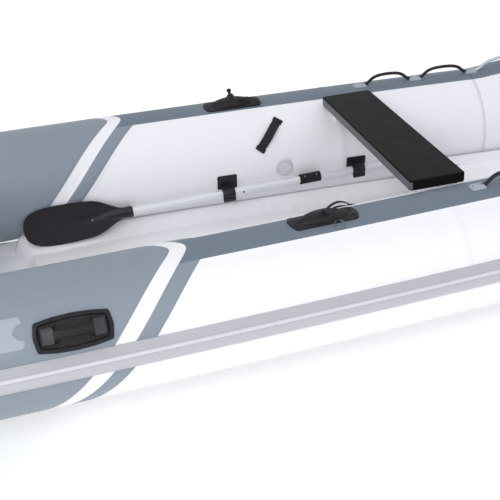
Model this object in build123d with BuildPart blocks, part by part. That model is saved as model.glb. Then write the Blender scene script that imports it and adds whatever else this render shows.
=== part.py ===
"""Rigid inflatable dinghy: moulded hull, three-chamber tube, thwart, oars and fittings.

Frame: +X towards the bow, +Y to port, +Z up. The origin is on the surface that the keel
stands on, halfway along the boat. Millimetres.
"""
from build123d import *
from math import asin, cos, pi, radians, sin
import os

os.makedirs("parts", exist_ok=True)

# ---------------------------------------------------------------- driving dimensions
TUBE_R = 215.0            # inflated tube radius
SKIN = 3.0                # coated fabric with its glued laps
AXIS_Z = 330.0            # height of the side tubes' axis over the keel
HALF_SPACING = 571.3      # widest distance of a tube's axis from the centreline
X_WIDEST = -1637.0        # where the tubes lie parallel to the centreline
PLAN_R = 38168.0          # radius of the side tubes' gentle plan curve
X_CONE = -1300.0          # where the stern cones start
X_RISE = 900.0            # where the tube starts to rise towards the bow
RISE = radians(10)        # sheer of the bow
RISE_R = 700.0            # radius of the bend into the sheer
SEAM = 0.4                # gap between neighbouring tube panels
LIFT = 0.6                # glue line between the tube and what is bonded to it

CONE_TIP_R = 78.0
CAP_LENGTH = 45.0

STRAKE_OUT = 30.0         # how far the rubbing strake stands off the tube

FLOOR_Z = 135.0           # top of the cockpit sole
SOLE = 8.0                # thickness of the moulded sole
WELL_Z = 70.0             # top of the aft well's floor
X_WELL = -1050.0          # step down from the sole to the well
X_LOCKER = 620.0          # aft face of the bow locker
LOCKER_Z = 270.0          # top of the bow locker
WALL = 6.0                # laminate thickness of the deck mouldings

X_TRANSOM = -1250.0       # forward face of the transom
TRANSOM = 40.0
TRANSOM_TOP = 405.0

SEAT_X = 321.0            # centre of the thwart
SEAT_LENGTH = 850.0
SEAT_WIDTH = 203.0
SEAT_THICK = 36.0
SEAT_BOTTOM = 525.0

OARLOCK_X = -130.0
HANDLE_X = -971.0
ROPE_D = 13.0
SHAFT_R = 16.0


# ---------------------------------------------------------------- tube centreline
def heading(x):
    """Angle by which the side tube's axis has turned inwards at x."""
    return asin((x - X_WIDEST) / PLAN_R)


def axis_y(x):
    return HALF_SPACING - PLAN_R * (1 - cos(heading(x)))


def side_point(x):
    return Vector(x, axis_y(x), AXIS_Z)


def side_arc(start, end):
    """The port tube's axis from start to end, to be made inside a BuildLine."""
    return ThreePointArc(side_point(start), side_point((start + end) / 2), side_point(end))


UP = Vector(0, 0, 1)
PORT = Vector(0, 1, 0)
along_rise = Vector(cos(heading(X_RISE)), -sin(heading(X_RISE)), 0)
rise_start = side_point(X_RISE)


def rise_point(angle):
    """A point on the vertical bend that leads into the sheer."""
    return rise_start + along_rise * (RISE_R * sin(angle)) + UP * (RISE_R * (1 - cos(angle)))


rise_end = rise_point(RISE)
bow_forward = Vector(cos(RISE) * along_rise.X, 0, sin(RISE)).normalized()
bow_up = Vector(-bow_forward.Z, 0, bow_forward.X)
BOW_START = asin(cos(RISE) * sin(heading(X_RISE)))
BOW_R = rise_end.Y / cos(BOW_START)
bow_centre = rise_end - PORT * rise_end.Y - bow_forward * (BOW_R * sin(BOW_START))


def bow_point(turn, radius=BOW_R, lift=0.0):
    """A point beside the bow arc: turn 0 faces port, a quarter turn faces forward."""
    across = PORT * cos(turn) + bow_forward * sin(turn)
    return bow_centre + across * radius + bow_up * lift


BOW_TIP = bow_point(pi / 2).X + bow_forward.X * (TUBE_R + STRAKE_OUT) + bow_up.X * 29.5
X_STERN = -BOW_TIP


# ---------------------------------------------------------------- helpers
def save(builder, name):
    builder.part.label = name
    export_step(builder.part, f"parts/{name}.step")


def save_pair(builder, name):
    """Write a port piece and its starboard mirror image."""
    save(builder, f"{name}_port")
    with BuildPart() as twin:
        add(builder.part)
        mirror(about=Plane.XZ, mode=Mode.REPLACE)
    save(twin, f"{name}_starboard")


def both_sides(builder):
    """One piece that holds a port solid and its mirror image."""
    with BuildPart() as pair:
        add(builder.part)
        mirror(about=Plane.XZ)
    return pair


def tube_plane(x, outboard):
    """Plane through the port tube's axis; its normal leaves the tube outboard degrees from up."""
    turn = heading(x)
    tangent = Vector(cos(turn), -sin(turn), 0)
    across = Vector(sin(turn), cos(turn), 0)
    tilt = radians(outboard)
    return Plane(origin=side_point(x), x_dir=tangent, z_dir=across * sin(tilt) + UP * cos(tilt))


def across_plane(frame):
    """The plane square to the tube's axis at a frame on it."""
    return Plane(origin=frame.origin, x_dir=frame.z_dir, z_dir=frame.x_dir)


def shell_cut(frame, inner, outer, length):
    """Keep only what lies between two radii about the tube's axis."""
    with BuildSketch(across_plane(frame)) as ring:
        Circle(outer)
        Circle(inner, mode=Mode.SUBTRACT)
    extrude(ring.sketch, amount=length, both=True, mode=Mode.INTERSECT)


def bonded_pad(frame, length, width, corner, thick, lift=LIFT):
    """A rounded patch bonded to the tube, following its curve."""
    with BuildPart() as pad:
        with BuildSketch(frame):
            RectangleRounded(length, width, corner)
        extrude(amount=TUBE_R + thick + 20)
        shell_cut(frame, TUBE_R + lift, TUBE_R + lift + thick, length)
    return pad


# ---------------------------------------------------------------- inflated tubes
def tube_ring(plane):
    with BuildSketch(plane) as ring:
        Circle(TUBE_R)
        Circle(TUBE_R - SKIN, mode=Mode.SUBTRACT)
    return ring.sketch


VALVE_X = 29.0
VALVE_TURN = -90.7
VALVE_HOLE_R = 24.0

with BuildPart() as side_tube:
    with BuildLine() as side_path:
        side_arc(X_CONE + SEAM, X_RISE - SEAM)
    sweep(tube_ring(across_plane(tube_plane(X_CONE + SEAM, 0))), path=side_path.line)
    with BuildSketch(tube_plane(VALVE_X, VALVE_TURN)):
        Circle(VALVE_HOLE_R)
    extrude(amount=TUBE_R + 10, mode=Mode.SUBTRACT)
save_pair(side_tube, "tube")

bow_turns = [BOW_START, radians(48), pi / 2]
bow_gap = SEAM / BOW_R

with BuildPart() as bow_tube:
    with BuildLine() as rise_path:
        ThreePointArc(rise_point(0), rise_point(RISE / 2), rise_point(RISE))
    sweep(tube_ring(Plane(origin=rise_start, x_dir=UP, z_dir=along_rise)), path=rise_path.line)
    for start, end in zip(bow_turns, bow_turns[1:]):
        first = start + bow_gap
        last = end - bow_gap
        with BuildLine() as gore_path:
            ThreePointArc(bow_point(first), bow_point((first + last) / 2), bow_point(last))
        gore_tangent = bow_forward * cos(first) - PORT * sin(first)
        gore_start = Plane(origin=bow_point(first), x_dir=bow_up, z_dir=gore_tangent)
        sweep(tube_ring(gore_start), path=gore_path.line)
    mirror(about=Plane.XZ)
save(bow_tube, "bow_tube")

x_cap = X_STERN + CAP_LENGTH
cone_length = X_CONE - x_cap
cone_tangent = across_plane(tube_plane(X_CONE, 0)).z_dir
cone_plane = Plane(origin=side_point(X_CONE), x_dir=UP, z_dir=cone_tangent * -1)
with BuildPart() as cone:
    with BuildSketch(cone_plane):
        Circle(TUBE_R)
    with BuildSketch(cone_plane.offset(cone_length)):
        Circle(CONE_TIP_R)
    loft()
    with BuildSketch(cone_plane):
        Circle(TUBE_R - SKIN)
    with BuildSketch(cone_plane.offset(cone_length)):
        Circle(CONE_TIP_R - SKIN)
    loft(mode=Mode.SUBTRACT)
save_pair(cone, "cone")

LIP = 25.0
with BuildPart() as cone_cap:
    with BuildSketch(Plane(origin=cone_plane.origin, x_dir=cone_plane.z_dir, z_dir=(0, -1, 0))):
        with BuildLine():
            Polyline((cone_length + CAP_LENGTH, 0), (cone_length + 0.5, 0),
                     (cone_length + 0.5, CONE_TIP_R + 2), (cone_length - LIP, CONE_TIP_R + 12),
                     (cone_length - LIP, CONE_TIP_R + 17),
                     (cone_length + 5, CONE_TIP_R + 10))
            ThreePointArc((cone_length + 5, CONE_TIP_R + 10), (cone_length + CAP_LENGTH - 13, 60),
                          (cone_length + CAP_LENGTH, 22))
            Line((cone_length + CAP_LENGTH, 22), (cone_length + CAP_LENGTH, 0))
        make_face()
    revolve(axis=Axis(cone_plane.origin, cone_plane.z_dir))
save(both_sides(cone_cap), "cone_caps")

with BuildPart() as baffle:
    with BuildSketch(across_plane(tube_plane(X_RISE - 60, 0))):
        Circle(TUBE_R - SKIN - LIFT)
    extrude(amount=SKIN)
save(both_sides(baffle), "baffles")

# ---------------------------------------------------------------- rubbing strake
STRAKE_TOP = radians(15.5)
STRAKE_FOOT = radians(-6.5)
seat_r = TUBE_R + LIFT
strake_a = (seat_r * cos(STRAKE_TOP), seat_r * sin(STRAKE_TOP))
strake_b = (strake_a[0] + 4, strake_a[1] + 1)
strake_c = (TUBE_R + 24, 42.5)
strake_d = (TUBE_R + 27.5, 28.0)
strake_e = (seat_r * cos(STRAKE_FOOT) + 3, seat_r * sin(STRAKE_FOOT))
strake_f = (seat_r * cos(STRAKE_FOOT), seat_r * sin(STRAKE_FOOT))


with BuildSketch() as strake_profile:
    with BuildLine():
        Polyline(strake_a, strake_b, strake_c, strake_d)
        ThreePointArc(strake_d, (TUBE_R + STRAKE_OUT - 3.5, 6), strake_e)
        Line(strake_e, strake_f)
        ThreePointArc(strake_f, (seat_r * cos(radians(4.5)), seat_r * sin(radians(4.5))), strake_a)
    make_face()


with BuildSketch() as insert_profile:
    with BuildLine():
        Polyline((strake_c[0] + 0.3, 41.5), (TUBE_R + STRAKE_OUT - 1.5, 41.0),
                 (TUBE_R + STRAKE_OUT, 29.5), (strake_d[0] + 0.3, 29.0), close=True)
    make_face()


def outboard_plane(origin, forward, outward):
    """Profile plane whose local x points outboard and whose local y points up."""
    return Plane(origin=origin, x_dir=outward, z_dir=forward)


def side_strip(profile, start, end):
    turn = heading(start)
    with BuildPart() as strip:
        with BuildLine() as path:
            side_arc(start, end)
        forward = Vector(cos(turn), -sin(turn), 0)
        outward = Vector(sin(turn), cos(turn), 0)
        with BuildSketch(outboard_plane(side_point(start), forward, outward)):
            add(profile.sketch)
        sweep(path=path.line)
    return strip


def bow_strip(profile):
    """Strip round the bow: the rising bend, then the arc, and their mirror image."""
    with BuildPart() as strip:
        with BuildLine() as path:
            ThreePointArc(rise_point(0), rise_point(RISE / 2), rise_point(RISE))
            ThreePointArc(bow_point(BOW_START), bow_point((BOW_START + pi / 2) / 2), bow_point(pi / 2))
        outward = Vector(-along_rise.Y, along_rise.X, 0)
        with BuildSketch(outboard_plane(rise_start, along_rise, outward)):
            add(profile.sketch)
        sweep(path=path.wires()[0])
        mirror(about=Plane.XZ)
    return strip


save_pair(side_strip(strake_profile, X_CONE + SEAM, X_RISE - SEAM), "strake")
save(bow_strip(strake_profile), "strake_bow")
insert_side = side_strip(insert_profile, X_CONE + SEAM, X_RISE - SEAM)
insert_bow = bow_strip(insert_profile)
with BuildPart() as strake_inserts:
    add(both_sides(insert_side).part)
    add(insert_bow.part)
save(strake_inserts, "strake_inserts")

# ---------------------------------------------------------------- moulded hull
# station: x, keel z, half width of the keel flat, chine (y, z), flange (y, z)
FLANGE_Z = 139.5          # the side tubes rest on the hull's flange at this height
HULL_STATIONS = [
    (X_TRANSOM + 0.5, 0, 90, (375, 82), (460, FLANGE_Z)),
    (-500, 0, 90, (366, 82), (axis_y(-500) - 109, FLANGE_Z)),
    (350, 0, 80, (330, 84), (axis_y(350) - 109, FLANGE_Z)),
    (750, 22, 62, (280, 100), (378, FLANGE_Z + 1)),
    (1000, 66, 44, (216, 128), (325, FLANGE_Z + 7)),
    (1150, 116, 30, (160, 158), (258, 176)),
    (1262, 168, 16, (78, 188), (130, 198)),
]


def hull_section(station, inset=0.0):
    """Keel flat, chine and flange of one station; an inset section runs on above the flange."""
    x, keel, pad, chine, flange = station
    run_on = 30 if inset else 0
    flare = (flange[0] - chine[0]) / (flange[1] - chine[1])
    outline = [(pad - inset / 2, keel + inset), (chine[0] - inset, chine[1] + inset),
               (flange[0] + flare * run_on - inset * 1.7, flange[1] + run_on)]
    with BuildSketch(Plane.YZ.offset(x)) as section:
        Polygon(*outline, *[(-y, z) for y, z in reversed(outline)], align=None)
    return section.sketch


inner_stations = list(HULL_STATIONS)
inner_stations[0] = (inner_stations[0][0] + WALL, *inner_stations[0][1:])
inner_stations[-1] = (inner_stations[-1][0] - WALL, *inner_stations[-1][1:])
with BuildPart() as hull_shell:
    loft([hull_section(station) for station in HULL_STATIONS], ruled=True)
    loft([hull_section(station, WALL) for station in inner_stations], ruled=True, mode=Mode.SUBTRACT)
save(hull_shell, "hull_shell")

# ---------------------------------------------------------------- cockpit sole and side flanges
SOLE_INSET = 206.0        # the sole's edge, inboard of the tube's axis
WELL_HALF = 270.0         # half width of the aft well's floor
floor_half = axis_y(X_WELL) - SOLE_INSET
with BuildPart() as deck_floor:
    with BuildSketch(Plane.XZ):
        with BuildLine():
            Polyline((X_TRANSOM + 1, WELL_Z - WALL), (X_TRANSOM + 1, WELL_Z), (X_WELL - WALL, WELL_Z),
                     (X_WELL - WALL, FLOOR_Z), (880, FLOOR_Z), (880, FLOOR_Z - SOLE),
                     (X_WELL, FLOOR_Z - SOLE), (X_WELL, WELL_Z - WALL), close=True)
        make_face()
    extrude(amount=floor_half, both=True)
    with BuildSketch():
        with BuildLine():
            Polyline((X_TRANSOM, -WELL_HALF), (X_TRANSOM, WELL_HALF), (X_WELL - WALL, WELL_HALF),
                     (X_WELL - WALL, floor_half),
                     (-200, axis_y(-200) - SOLE_INSET), (X_LOCKER, axis_y(X_LOCKER) - SOLE_INSET),
                     (880, 215), (880, -215), (X_LOCKER, SOLE_INSET - axis_y(X_LOCKER)),
                     (-200, SOLE_INSET - axis_y(-200)), (X_WELL - WALL, -floor_half),
                     (X_WELL - WALL, -WELL_HALF), close=True)
        make_face()
    extrude(amount=300, mode=Mode.INTERSECT)
    loft([hull_section(station, WALL + 1) for station in inner_stations], ruled=True, mode=Mode.INTERSECT)
save(deck_floor, "deck_floor")


# the moulded flange between the sole and the tube, in the tube's own outboard and up
top = radians(45)
low = radians(31)
reach = TUBE_R + 3
with BuildSketch() as flange_profile:
    with BuildLine():
        Polyline((-SOLE_INSET + 0.5, FLOOR_Z - SOLE - AXIS_Z), (-SOLE_INSET + 0.5, FLOOR_Z + 1 - AXIS_Z),
                 (-reach * sin(top), -reach * cos(top)), (-reach * sin(low), -reach * cos(low)), close=True)
    make_face()


save_pair(side_strip(flange_profile, X_WELL + 4, X_LOCKER - 2), "side_flange")

# ---------------------------------------------------------------- bow locker and its lid
LID_LENGTH = 330.0
LID_WIDTH = 300.0
LID_X = 800.0
SKIRT = 40.0
locker_half = axis_y(X_LOCKER) - TUBE_R + 3
nose_half = axis_y(1000) - TUBE_R + 1


def locker_outline(inset):
    with BuildSketch(Plane.XY.offset(LOCKER_Z - SKIRT)) as outline:
        with BuildLine():
            Polyline((1000, nose_half - inset), (X_LOCKER + inset, locker_half - inset),
                     (X_LOCKER + inset, inset - locker_half), (1000, inset - nose_half))
            ThreePointArc((1000, inset - nose_half), (1178 - inset, inset - 188), (1278 - inset, 0))
            ThreePointArc((1278 - inset, 0), (1178 - inset, 188 - inset), (1000, nose_half - inset))
        make_face()
    return outline.sketch


with BuildPart() as bow_locker:
    extrude(locker_outline(0), amount=SKIRT)
    extrude(locker_outline(WALL), amount=SKIRT - WALL, mode=Mode.SUBTRACT)
    with BuildSketch(Plane.YZ.offset(X_LOCKER)):
        with Locations((0, (FLOOR_Z + LOCKER_Z) / 2)):
            Rectangle(2 * locker_half - 4, LOCKER_Z - FLOOR_Z - 1)
    extrude(amount=WALL)
    with BuildSketch(Plane.XY.offset(LOCKER_Z - WALL)):
        with Locations((LID_X, 0)):
            RectangleRounded(LID_LENGTH, LID_WIDTH, 30)
    extrude(amount=WALL, mode=Mode.SUBTRACT)
save(bow_locker, "bow_locker")

with BuildPart() as locker_lid:
    with BuildSketch(Plane.XY.offset(LOCKER_Z + 0.5)):
        with Locations((LID_X, 0)):
            RectangleRounded(LID_LENGTH + 40, LID_WIDTH + 40, 40)
    extrude(amount=10)
    fillet(locker_lid.faces().sort_by(Axis.Z)[-1].edges(), radius=4)
    with BuildSketch(Plane.XY.offset(LOCKER_Z - 14)):
        with Locations((LID_X, 0)):
            RectangleRounded(LID_LENGTH - 12, LID_WIDTH - 12, 26)
            RectangleRounded(LID_LENGTH - 24, LID_WIDTH - 24, 20, mode=Mode.SUBTRACT)
    extrude(amount=14.5)
save(locker_lid, "locker_lid")

# ---------------------------------------------------------------- transom
PAD_WIDTH = 240.0
PAD_HEIGHT = 150.0
PAD_THICK = 8.0
DRAIN_Z = 92.0
DRAIN_R = 16.0
transom_axis = axis_y(X_TRANSOM - TRANSOM / 2)
with BuildPart() as transom:
    with BuildSketch(Plane.YZ.offset(X_TRANSOM - TRANSOM)):
        with BuildLine():
            Polyline((-88, 4), (88, 4), (372, 84), (432, 152), (432, TRANSOM_TOP + 35),
                     (190, TRANSOM_TOP + 35), (160, TRANSOM_TOP), (-160, TRANSOM_TOP),
                     (-190, TRANSOM_TOP + 35),
                     (-432, TRANSOM_TOP + 35), (-432, 152), (-372, 84), close=True)
        make_face()
        with Locations((transom_axis, AXIS_Z), (-transom_axis, AXIS_Z)):
            Circle(TUBE_R + 1.5, mode=Mode.SUBTRACT)
        with Locations((0, DRAIN_Z)):
            Circle(DRAIN_R, mode=Mode.SUBTRACT)
    extrude(amount=TRANSOM)
save(transom, "transom")

pad_centre_z = TRANSOM_TOP - PAD_HEIGHT / 2 - 8
with BuildPart() as transom_pads:
    for face_x, outward in ((X_TRANSOM, 1), (X_TRANSOM - TRANSOM, -1)):
        with BuildSketch(Plane.YZ.offset(face_x + outward * 0.3)):
            with Locations((0, pad_centre_z)):
                RectangleRounded(PAD_WIDTH, PAD_HEIGHT, 18)
        extrude(amount=outward * PAD_THICK)
save(transom_pads, "transom_pads")

bush_plane = Plane(origin=(X_TRANSOM - TRANSOM, 0, DRAIN_Z), x_dir=(0, 1, 0), z_dir=(-1, 0, 0))
with BuildPart() as drain_bush:
    with BuildSketch(bush_plane):
        Circle(26)
    extrude(amount=3.5)
    with BuildSketch(bush_plane):
        Circle(DRAIN_R - 0.2)
    extrude(amount=-TRANSOM)
    with BuildSketch(bush_plane.offset(3.5)):
        Circle(12)
    extrude(amount=-TRANSOM - 3.5, mode=Mode.SUBTRACT)
save(drain_bush, "drain_bush")

with BuildPart() as drain_plug:
    with BuildSketch(bush_plane.offset(-26)):
        Circle(11.95)
    extrude(amount=30)
    with BuildSketch(bush_plane.offset(4)):
        Circle(18)
    extrude(amount=6)
    with BuildSketch(bush_plane.offset(10)):
        RectangleRounded(32, 9, 4)
    extrude(amount=12)
save(drain_plug, "drain_plug")

# ---------------------------------------------------------------- bow eye
with BuildPart() as bow_eye:
    with BuildSketch(Plane.YZ.offset(1262.5)):
        with Locations((0, 183)):
            RectangleRounded(30, 26, 5)
    extrude(amount=4)
    with BuildSketch(Plane(origin=(1266, 0, 174), x_dir=(0, 1, 0), z_dir=(1, 0, 0))):
        Circle(4)
    revolve(axis=Axis((1266, 0, 184), (0, 1, 0)), revolution_arc=-180)
save(bow_eye, "bow_eye")

# ---------------------------------------------------------------- thwart
with BuildPart() as seat_board:
    with BuildSketch(Plane.XY.offset(SEAT_BOTTOM)):
        with Locations((SEAT_X, 0)):
            RectangleRounded(SEAT_WIDTH, SEAT_LENGTH, 14)
    extrude(amount=SEAT_THICK)
    fillet(seat_board.faces().sort_by(Axis.Z)[-1].edges(), radius=7)
save(seat_board, "seat_board")

with BuildPart() as seat_cleat:
    with BuildSketch(Plane.XY.offset(SEAT_BOTTOM - 60)):
        with Locations((SEAT_X, axis_y(SEAT_X) - 128)):
            RectangleRounded(150, 70, 12)
    extrude(amount=59.5)
    with BuildSketch(across_plane(tube_plane(SEAT_X, 0))):
        Circle(TUBE_R + LIFT)
    extrude(amount=300, both=True, mode=Mode.SUBTRACT)
save(both_sides(seat_cleat), "seat_cleats")

# ---------------------------------------------------------------- carrying handles
TRAY_THICK = 9.0
GRIP_HALF_WIDTH = 11.0
GRIP_PROFILE = [(-98, 0.4), (-98, 14), (-58, 31), (58, 31), (98, 14), (98, 0.4), (62, 0.4),
                (44, 17), (-44, 17), (-62, 0.4)]


def handle_tray(frame):
    with BuildPart() as tray:
        with BuildSketch(frame):
            with BuildLine():
                ThreePointArc((-104, -50), (-121, 0), (-104, 50))
                ThreePointArc((-104, 50), (0, 60), (104, 50))
                ThreePointArc((104, 50), (121, 0), (104, -50))
                ThreePointArc((104, -50), (0, -60), (-104, -50))
            make_face()
        extrude(amount=TUBE_R + 60)
        shell_cut(frame, TUBE_R + LIFT, TUBE_R + TRAY_THICK, 260)
    return tray


def handle_grip(frame):
    side = Plane(origin=frame.origin + frame.z_dir * (TUBE_R + TRAY_THICK), x_dir=frame.x_dir,
                 z_dir=frame.x_dir.cross(frame.z_dir))
    with BuildPart() as grip:
        with BuildSketch(side):
            with BuildLine():
                Polyline(*GRIP_PROFILE, close=True)
            make_face()
        extrude(amount=GRIP_HALF_WIDTH, both=True)
    return grip


aft_handle = tube_plane(HANDLE_X, 57)
save_pair(handle_tray(aft_handle), "handle_tray")
save_pair(handle_grip(aft_handle), "handle_grip")

BOW_TRAY_LENGTH = 236.0
BOW_TRAY_WIDTH = 92.0
bow_handle_normal = (bow_up * cos(radians(38)) + bow_forward * sin(radians(38))).normalized()
bow_handle = Plane(origin=bow_point(pi / 2), x_dir=PORT, z_dir=bow_handle_normal)
with BuildPart() as bow_handle_tray:
    with BuildSketch(bow_handle):
        SlotOverall(BOW_TRAY_LENGTH, BOW_TRAY_WIDTH)
    extrude(amount=TUBE_R + 12)
    with BuildLine() as tray_path:
        ThreePointArc(bow_point(pi / 2 - 0.7), bow_point(pi / 2), bow_point(pi / 2 + 0.7))
    tray_tangent = bow_forward * cos(pi / 2 - 0.7) - PORT * sin(pi / 2 - 0.7)
    with BuildSketch(Plane(origin=bow_point(pi / 2 - 0.7), x_dir=bow_up, z_dir=tray_tangent)):
        Circle(TUBE_R + 8)
        Circle(TUBE_R + LIFT, mode=Mode.SUBTRACT)
    sweep(path=tray_path.line, mode=Mode.INTERSECT)
save(bow_handle_tray, "bow_handle_tray")
with BuildPart() as bow_grip:
    grip_side = Plane(origin=bow_handle.origin + bow_handle.z_dir * (TUBE_R + 8.4), x_dir=PORT,
                      z_dir=PORT.cross(bow_handle.z_dir))
    with BuildSketch(grip_side):
        with BuildLine():
            Polyline((-96, -14), (-96, 10), (-56, 30), (56, 30), (96, 10), (96, -14), (70, -2), (46, 17),
                     (-46, 17), (-70, -2), close=True)
        make_face()
    extrude(amount=GRIP_HALF_WIDTH, both=True)
    with BuildLine() as cut_path:
        ThreePointArc(bow_point(pi / 2 - 0.7), bow_point(pi / 2), bow_point(pi / 2 + 0.7))
    with BuildSketch(Plane(origin=bow_point(pi / 2 - 0.7), x_dir=bow_up, z_dir=tray_tangent)):
        Circle(TUBE_R + 8.4)
    sweep(path=cut_path.line, mode=Mode.SUBTRACT)
save(bow_grip, "bow_handle_grip")

# ---------------------------------------------------------------- oarlocks
PIN_LEAN = radians(52)    # the pin leans outboard from the pad's own normal
PIN_FOOT = 14.0           # height over the tube at which the pin's axis enters the boss
BOSS_TOP = 24.0           # length of the boss along the pin
PIN_R = 6.0
LUG_X = 33.0
LUG_Y = 42.0
LUG_RISE = TUBE_R + 5.0
oarlock = tube_plane(OARLOCK_X, -2)
pin_frame = Plane(origin=oarlock.from_local_coords((0, 0, TUBE_R + PIN_FOOT)), x_dir=oarlock.x_dir,
                  z_dir=oarlock.y_dir * sin(PIN_LEAN) + oarlock.z_dir * cos(PIN_LEAN))
with BuildPart() as oarlock_pad:
    with BuildSketch(oarlock):
        with BuildLine():
            Polyline((-116, 12), (-104, 44), (104, 44), (116, 12), (116, -20), (106, -46), (-106, -46),
                     (-116, -20), close=True)
        make_face()
    extrude(amount=TUBE_R + 30)
    shell_cut(oarlock, TUBE_R + LIFT, TUBE_R + 6, 260)
    with BuildSketch(oarlock.offset(TUBE_R + 2)):
        Ellipse(88, 34)
    with BuildSketch(oarlock.offset(TUBE_R + 22)):
        Ellipse(34, 22)
    loft()
    with BuildSketch(pin_frame):
        Circle(15)
    extrude(amount=BOSS_TOP)
    with BuildSketch(pin_frame.offset(-2)):
        Circle(PIN_R + 0.05)
    extrude(amount=60, mode=Mode.SUBTRACT)
    with Locations(oarlock.offset(LUG_RISE - 1)):
        with Locations((LUG_X, LUG_Y)):
            Box(9, 9, 12)
    lug = Plane(origin=oarlock.from_local_coords((LUG_X, LUG_Y, LUG_RISE)), x_dir=oarlock.z_dir,
                z_dir=oarlock.x_dir)
    with BuildSketch(lug):
        Circle(2.4)
    extrude(amount=12, both=True, mode=Mode.SUBTRACT)
save_pair(oarlock_pad, "oarlock_pad")

with BuildPart() as oarlock_pin:
    with BuildSketch(pin_frame):
        Circle(PIN_R)
    extrude(amount=BOSS_TOP + 20)
    with BuildSketch(pin_frame.offset(BOSS_TOP + 0.5)):
        Circle(11)
    extrude(amount=3)
    with BuildSketch(pin_frame.offset(BOSS_TOP + 20)):
        Circle(9)
    extrude(amount=9)
    fillet(oarlock_pin.faces().sort_by(Axis(pin_frame.origin, pin_frame.z_dir))[-1].edges(), radius=3)
save_pair(oarlock_pin, "oarlock_pin")

RING_R = 17.0
RING_DROOP = radians(24)
ring_hinge = oarlock.from_local_coords((LUG_X, LUG_Y, LUG_RISE))
ring_out = oarlock.y_dir * cos(RING_DROOP) - oarlock.z_dir * sin(RING_DROOP)
ring_centre = ring_hinge + ring_out * RING_R
with BuildPart() as pin_ring:
    with BuildSketch(Plane(origin=ring_centre, x_dir=ring_out, z_dir=oarlock.x_dir)):
        with Locations((RING_R, 0)):
            Circle(1.2)
    revolve(axis=Axis(ring_centre, oarlock.x_dir.cross(ring_out)))
save_pair(pin_ring, "pin_ring")

with BuildPart() as oarlock_strap:
    strap_side = Plane(origin=oarlock.from_local_coords((0, -34, TUBE_R)), x_dir=oarlock.x_dir,
                       z_dir=oarlock.x_dir.cross(oarlock.z_dir))
    with BuildSketch(strap_side):
        with BuildLine():
            ThreePointArc((22, 10.5), (66, 34), (110, 10.5))
            Line((110, 10.5), (106, 10.5))
            ThreePointArc((106, 10.5), (66, 30), (26, 10.5))
            Line((26, 10.5), (22, 10.5))
        make_face()
    extrude(amount=6, both=True)
save(both_sides(oarlock_strap), "oarlock_straps")

# ---------------------------------------------------------------- oars
neck = Vector(-614, 326, 247)
far = Vector(436, 273, 293)
oar_dir = (far - neck).normalized()
oar_face = (Vector(0, -1, 0) - oar_dir * Vector(0, -1, 0).dot(oar_dir)).normalized()
blade_plane = Plane(origin=neck, x_dir=oar_dir * -1, z_dir=oar_face)
BLADE_LENGTH = 420.0
OAR_END = 1225.0          # from the blade's neck to the end of the grip
BUTTON_AT = 452.0         # spring button that locks the two halves of the shaft
BUTTON_R = 4.0
SHAFT_WALL = 1.6
button_plane = Plane(origin=neck + oar_dir * BUTTON_AT, x_dir=oar_dir, z_dir=oar_face)


def shaft_plane(distance):
    return Plane(origin=neck + oar_dir * distance, x_dir=UP, z_dir=oar_dir)


with BuildPart() as oar_blade:
    with BuildSketch(blade_plane):
        with BuildLine():
            Polyline((0, 19), (40, 24), (150, 78))
            ThreePointArc((150, 78), (270, 86), (370, 76))
            ThreePointArc((370, 76), (BLADE_LENGTH, 0), (370, -76))
            ThreePointArc((370, -76), (270, -86), (150, -78))
            Polyline((150, -78), (40, -24), (0, -19), (0, 19))
        make_face()
    extrude(amount=3, both=True)
    with BuildSketch(shaft_plane(0)):
        Circle(21)
    with BuildSketch(shaft_plane(-310)):
        Circle(5)
    loft()
    with BuildSketch(shaft_plane(1)):
        Circle(SHAFT_R + 0.2)
    extrude(amount=-60, mode=Mode.SUBTRACT)
save_pair(oar_blade, "oar_blade")


def shaft_half(start, outer, length):
    """One half of the shaft, drilled where the spring button comes through."""
    with BuildPart() as pipe:
        with BuildSketch(shaft_plane(start)):
            Circle(outer)
            Circle(outer - SHAFT_WALL, mode=Mode.SUBTRACT)
        extrude(amount=length)
        with BuildSketch(button_plane):
            Circle(BUTTON_R + 0.3)
        extrude(amount=40, mode=Mode.SUBTRACT)
    return pipe


save_pair(shaft_half(-56, SHAFT_R, BUTTON_AT + 130), "oar_shaft_lower")
upper_half = shaft_half(BUTTON_AT - 70, SHAFT_R - SHAFT_WALL - 0.1, OAR_END - BUTTON_AT - 50)
save_pair(upper_half, "oar_shaft_upper")

with BuildPart() as oar_button:
    with BuildSketch(button_plane.offset(6)):
        Circle(BUTTON_R)
    extrude(amount=SHAFT_R - 6 + 3)
    fillet(oar_button.faces().sort_by(Axis.Y)[0].edges(), radius=1.5)
save_pair(oar_button, "oar_button")

with BuildPart() as oar_collar:
    with BuildSketch(shaft_plane(687)):
        Circle(20.5)
        Circle(SHAFT_R - 1.5, mode=Mode.SUBTRACT)
    extrude(amount=86)
save_pair(oar_collar, "oar_collar")

with BuildPart() as oar_grip:
    with BuildSketch(shaft_plane(OAR_END - 125)):
        Circle(18.5)
    extrude(amount=125)
    fillet(oar_grip.edges().filter_by(GeomType.CIRCLE), radius=5)
    with BuildSketch(shaft_plane(OAR_END - 126)):
        Circle(SHAFT_R - 1.5)
    extrude(amount=115, mode=Mode.SUBTRACT)
save_pair(oar_grip, "oar_grip")

# ---------------------------------------------------------------- oar clips
CLIP_TURN = -98.0


def oar_point(x):
    return neck + oar_dir * ((x - neck.X) / oar_dir.X)


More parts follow.
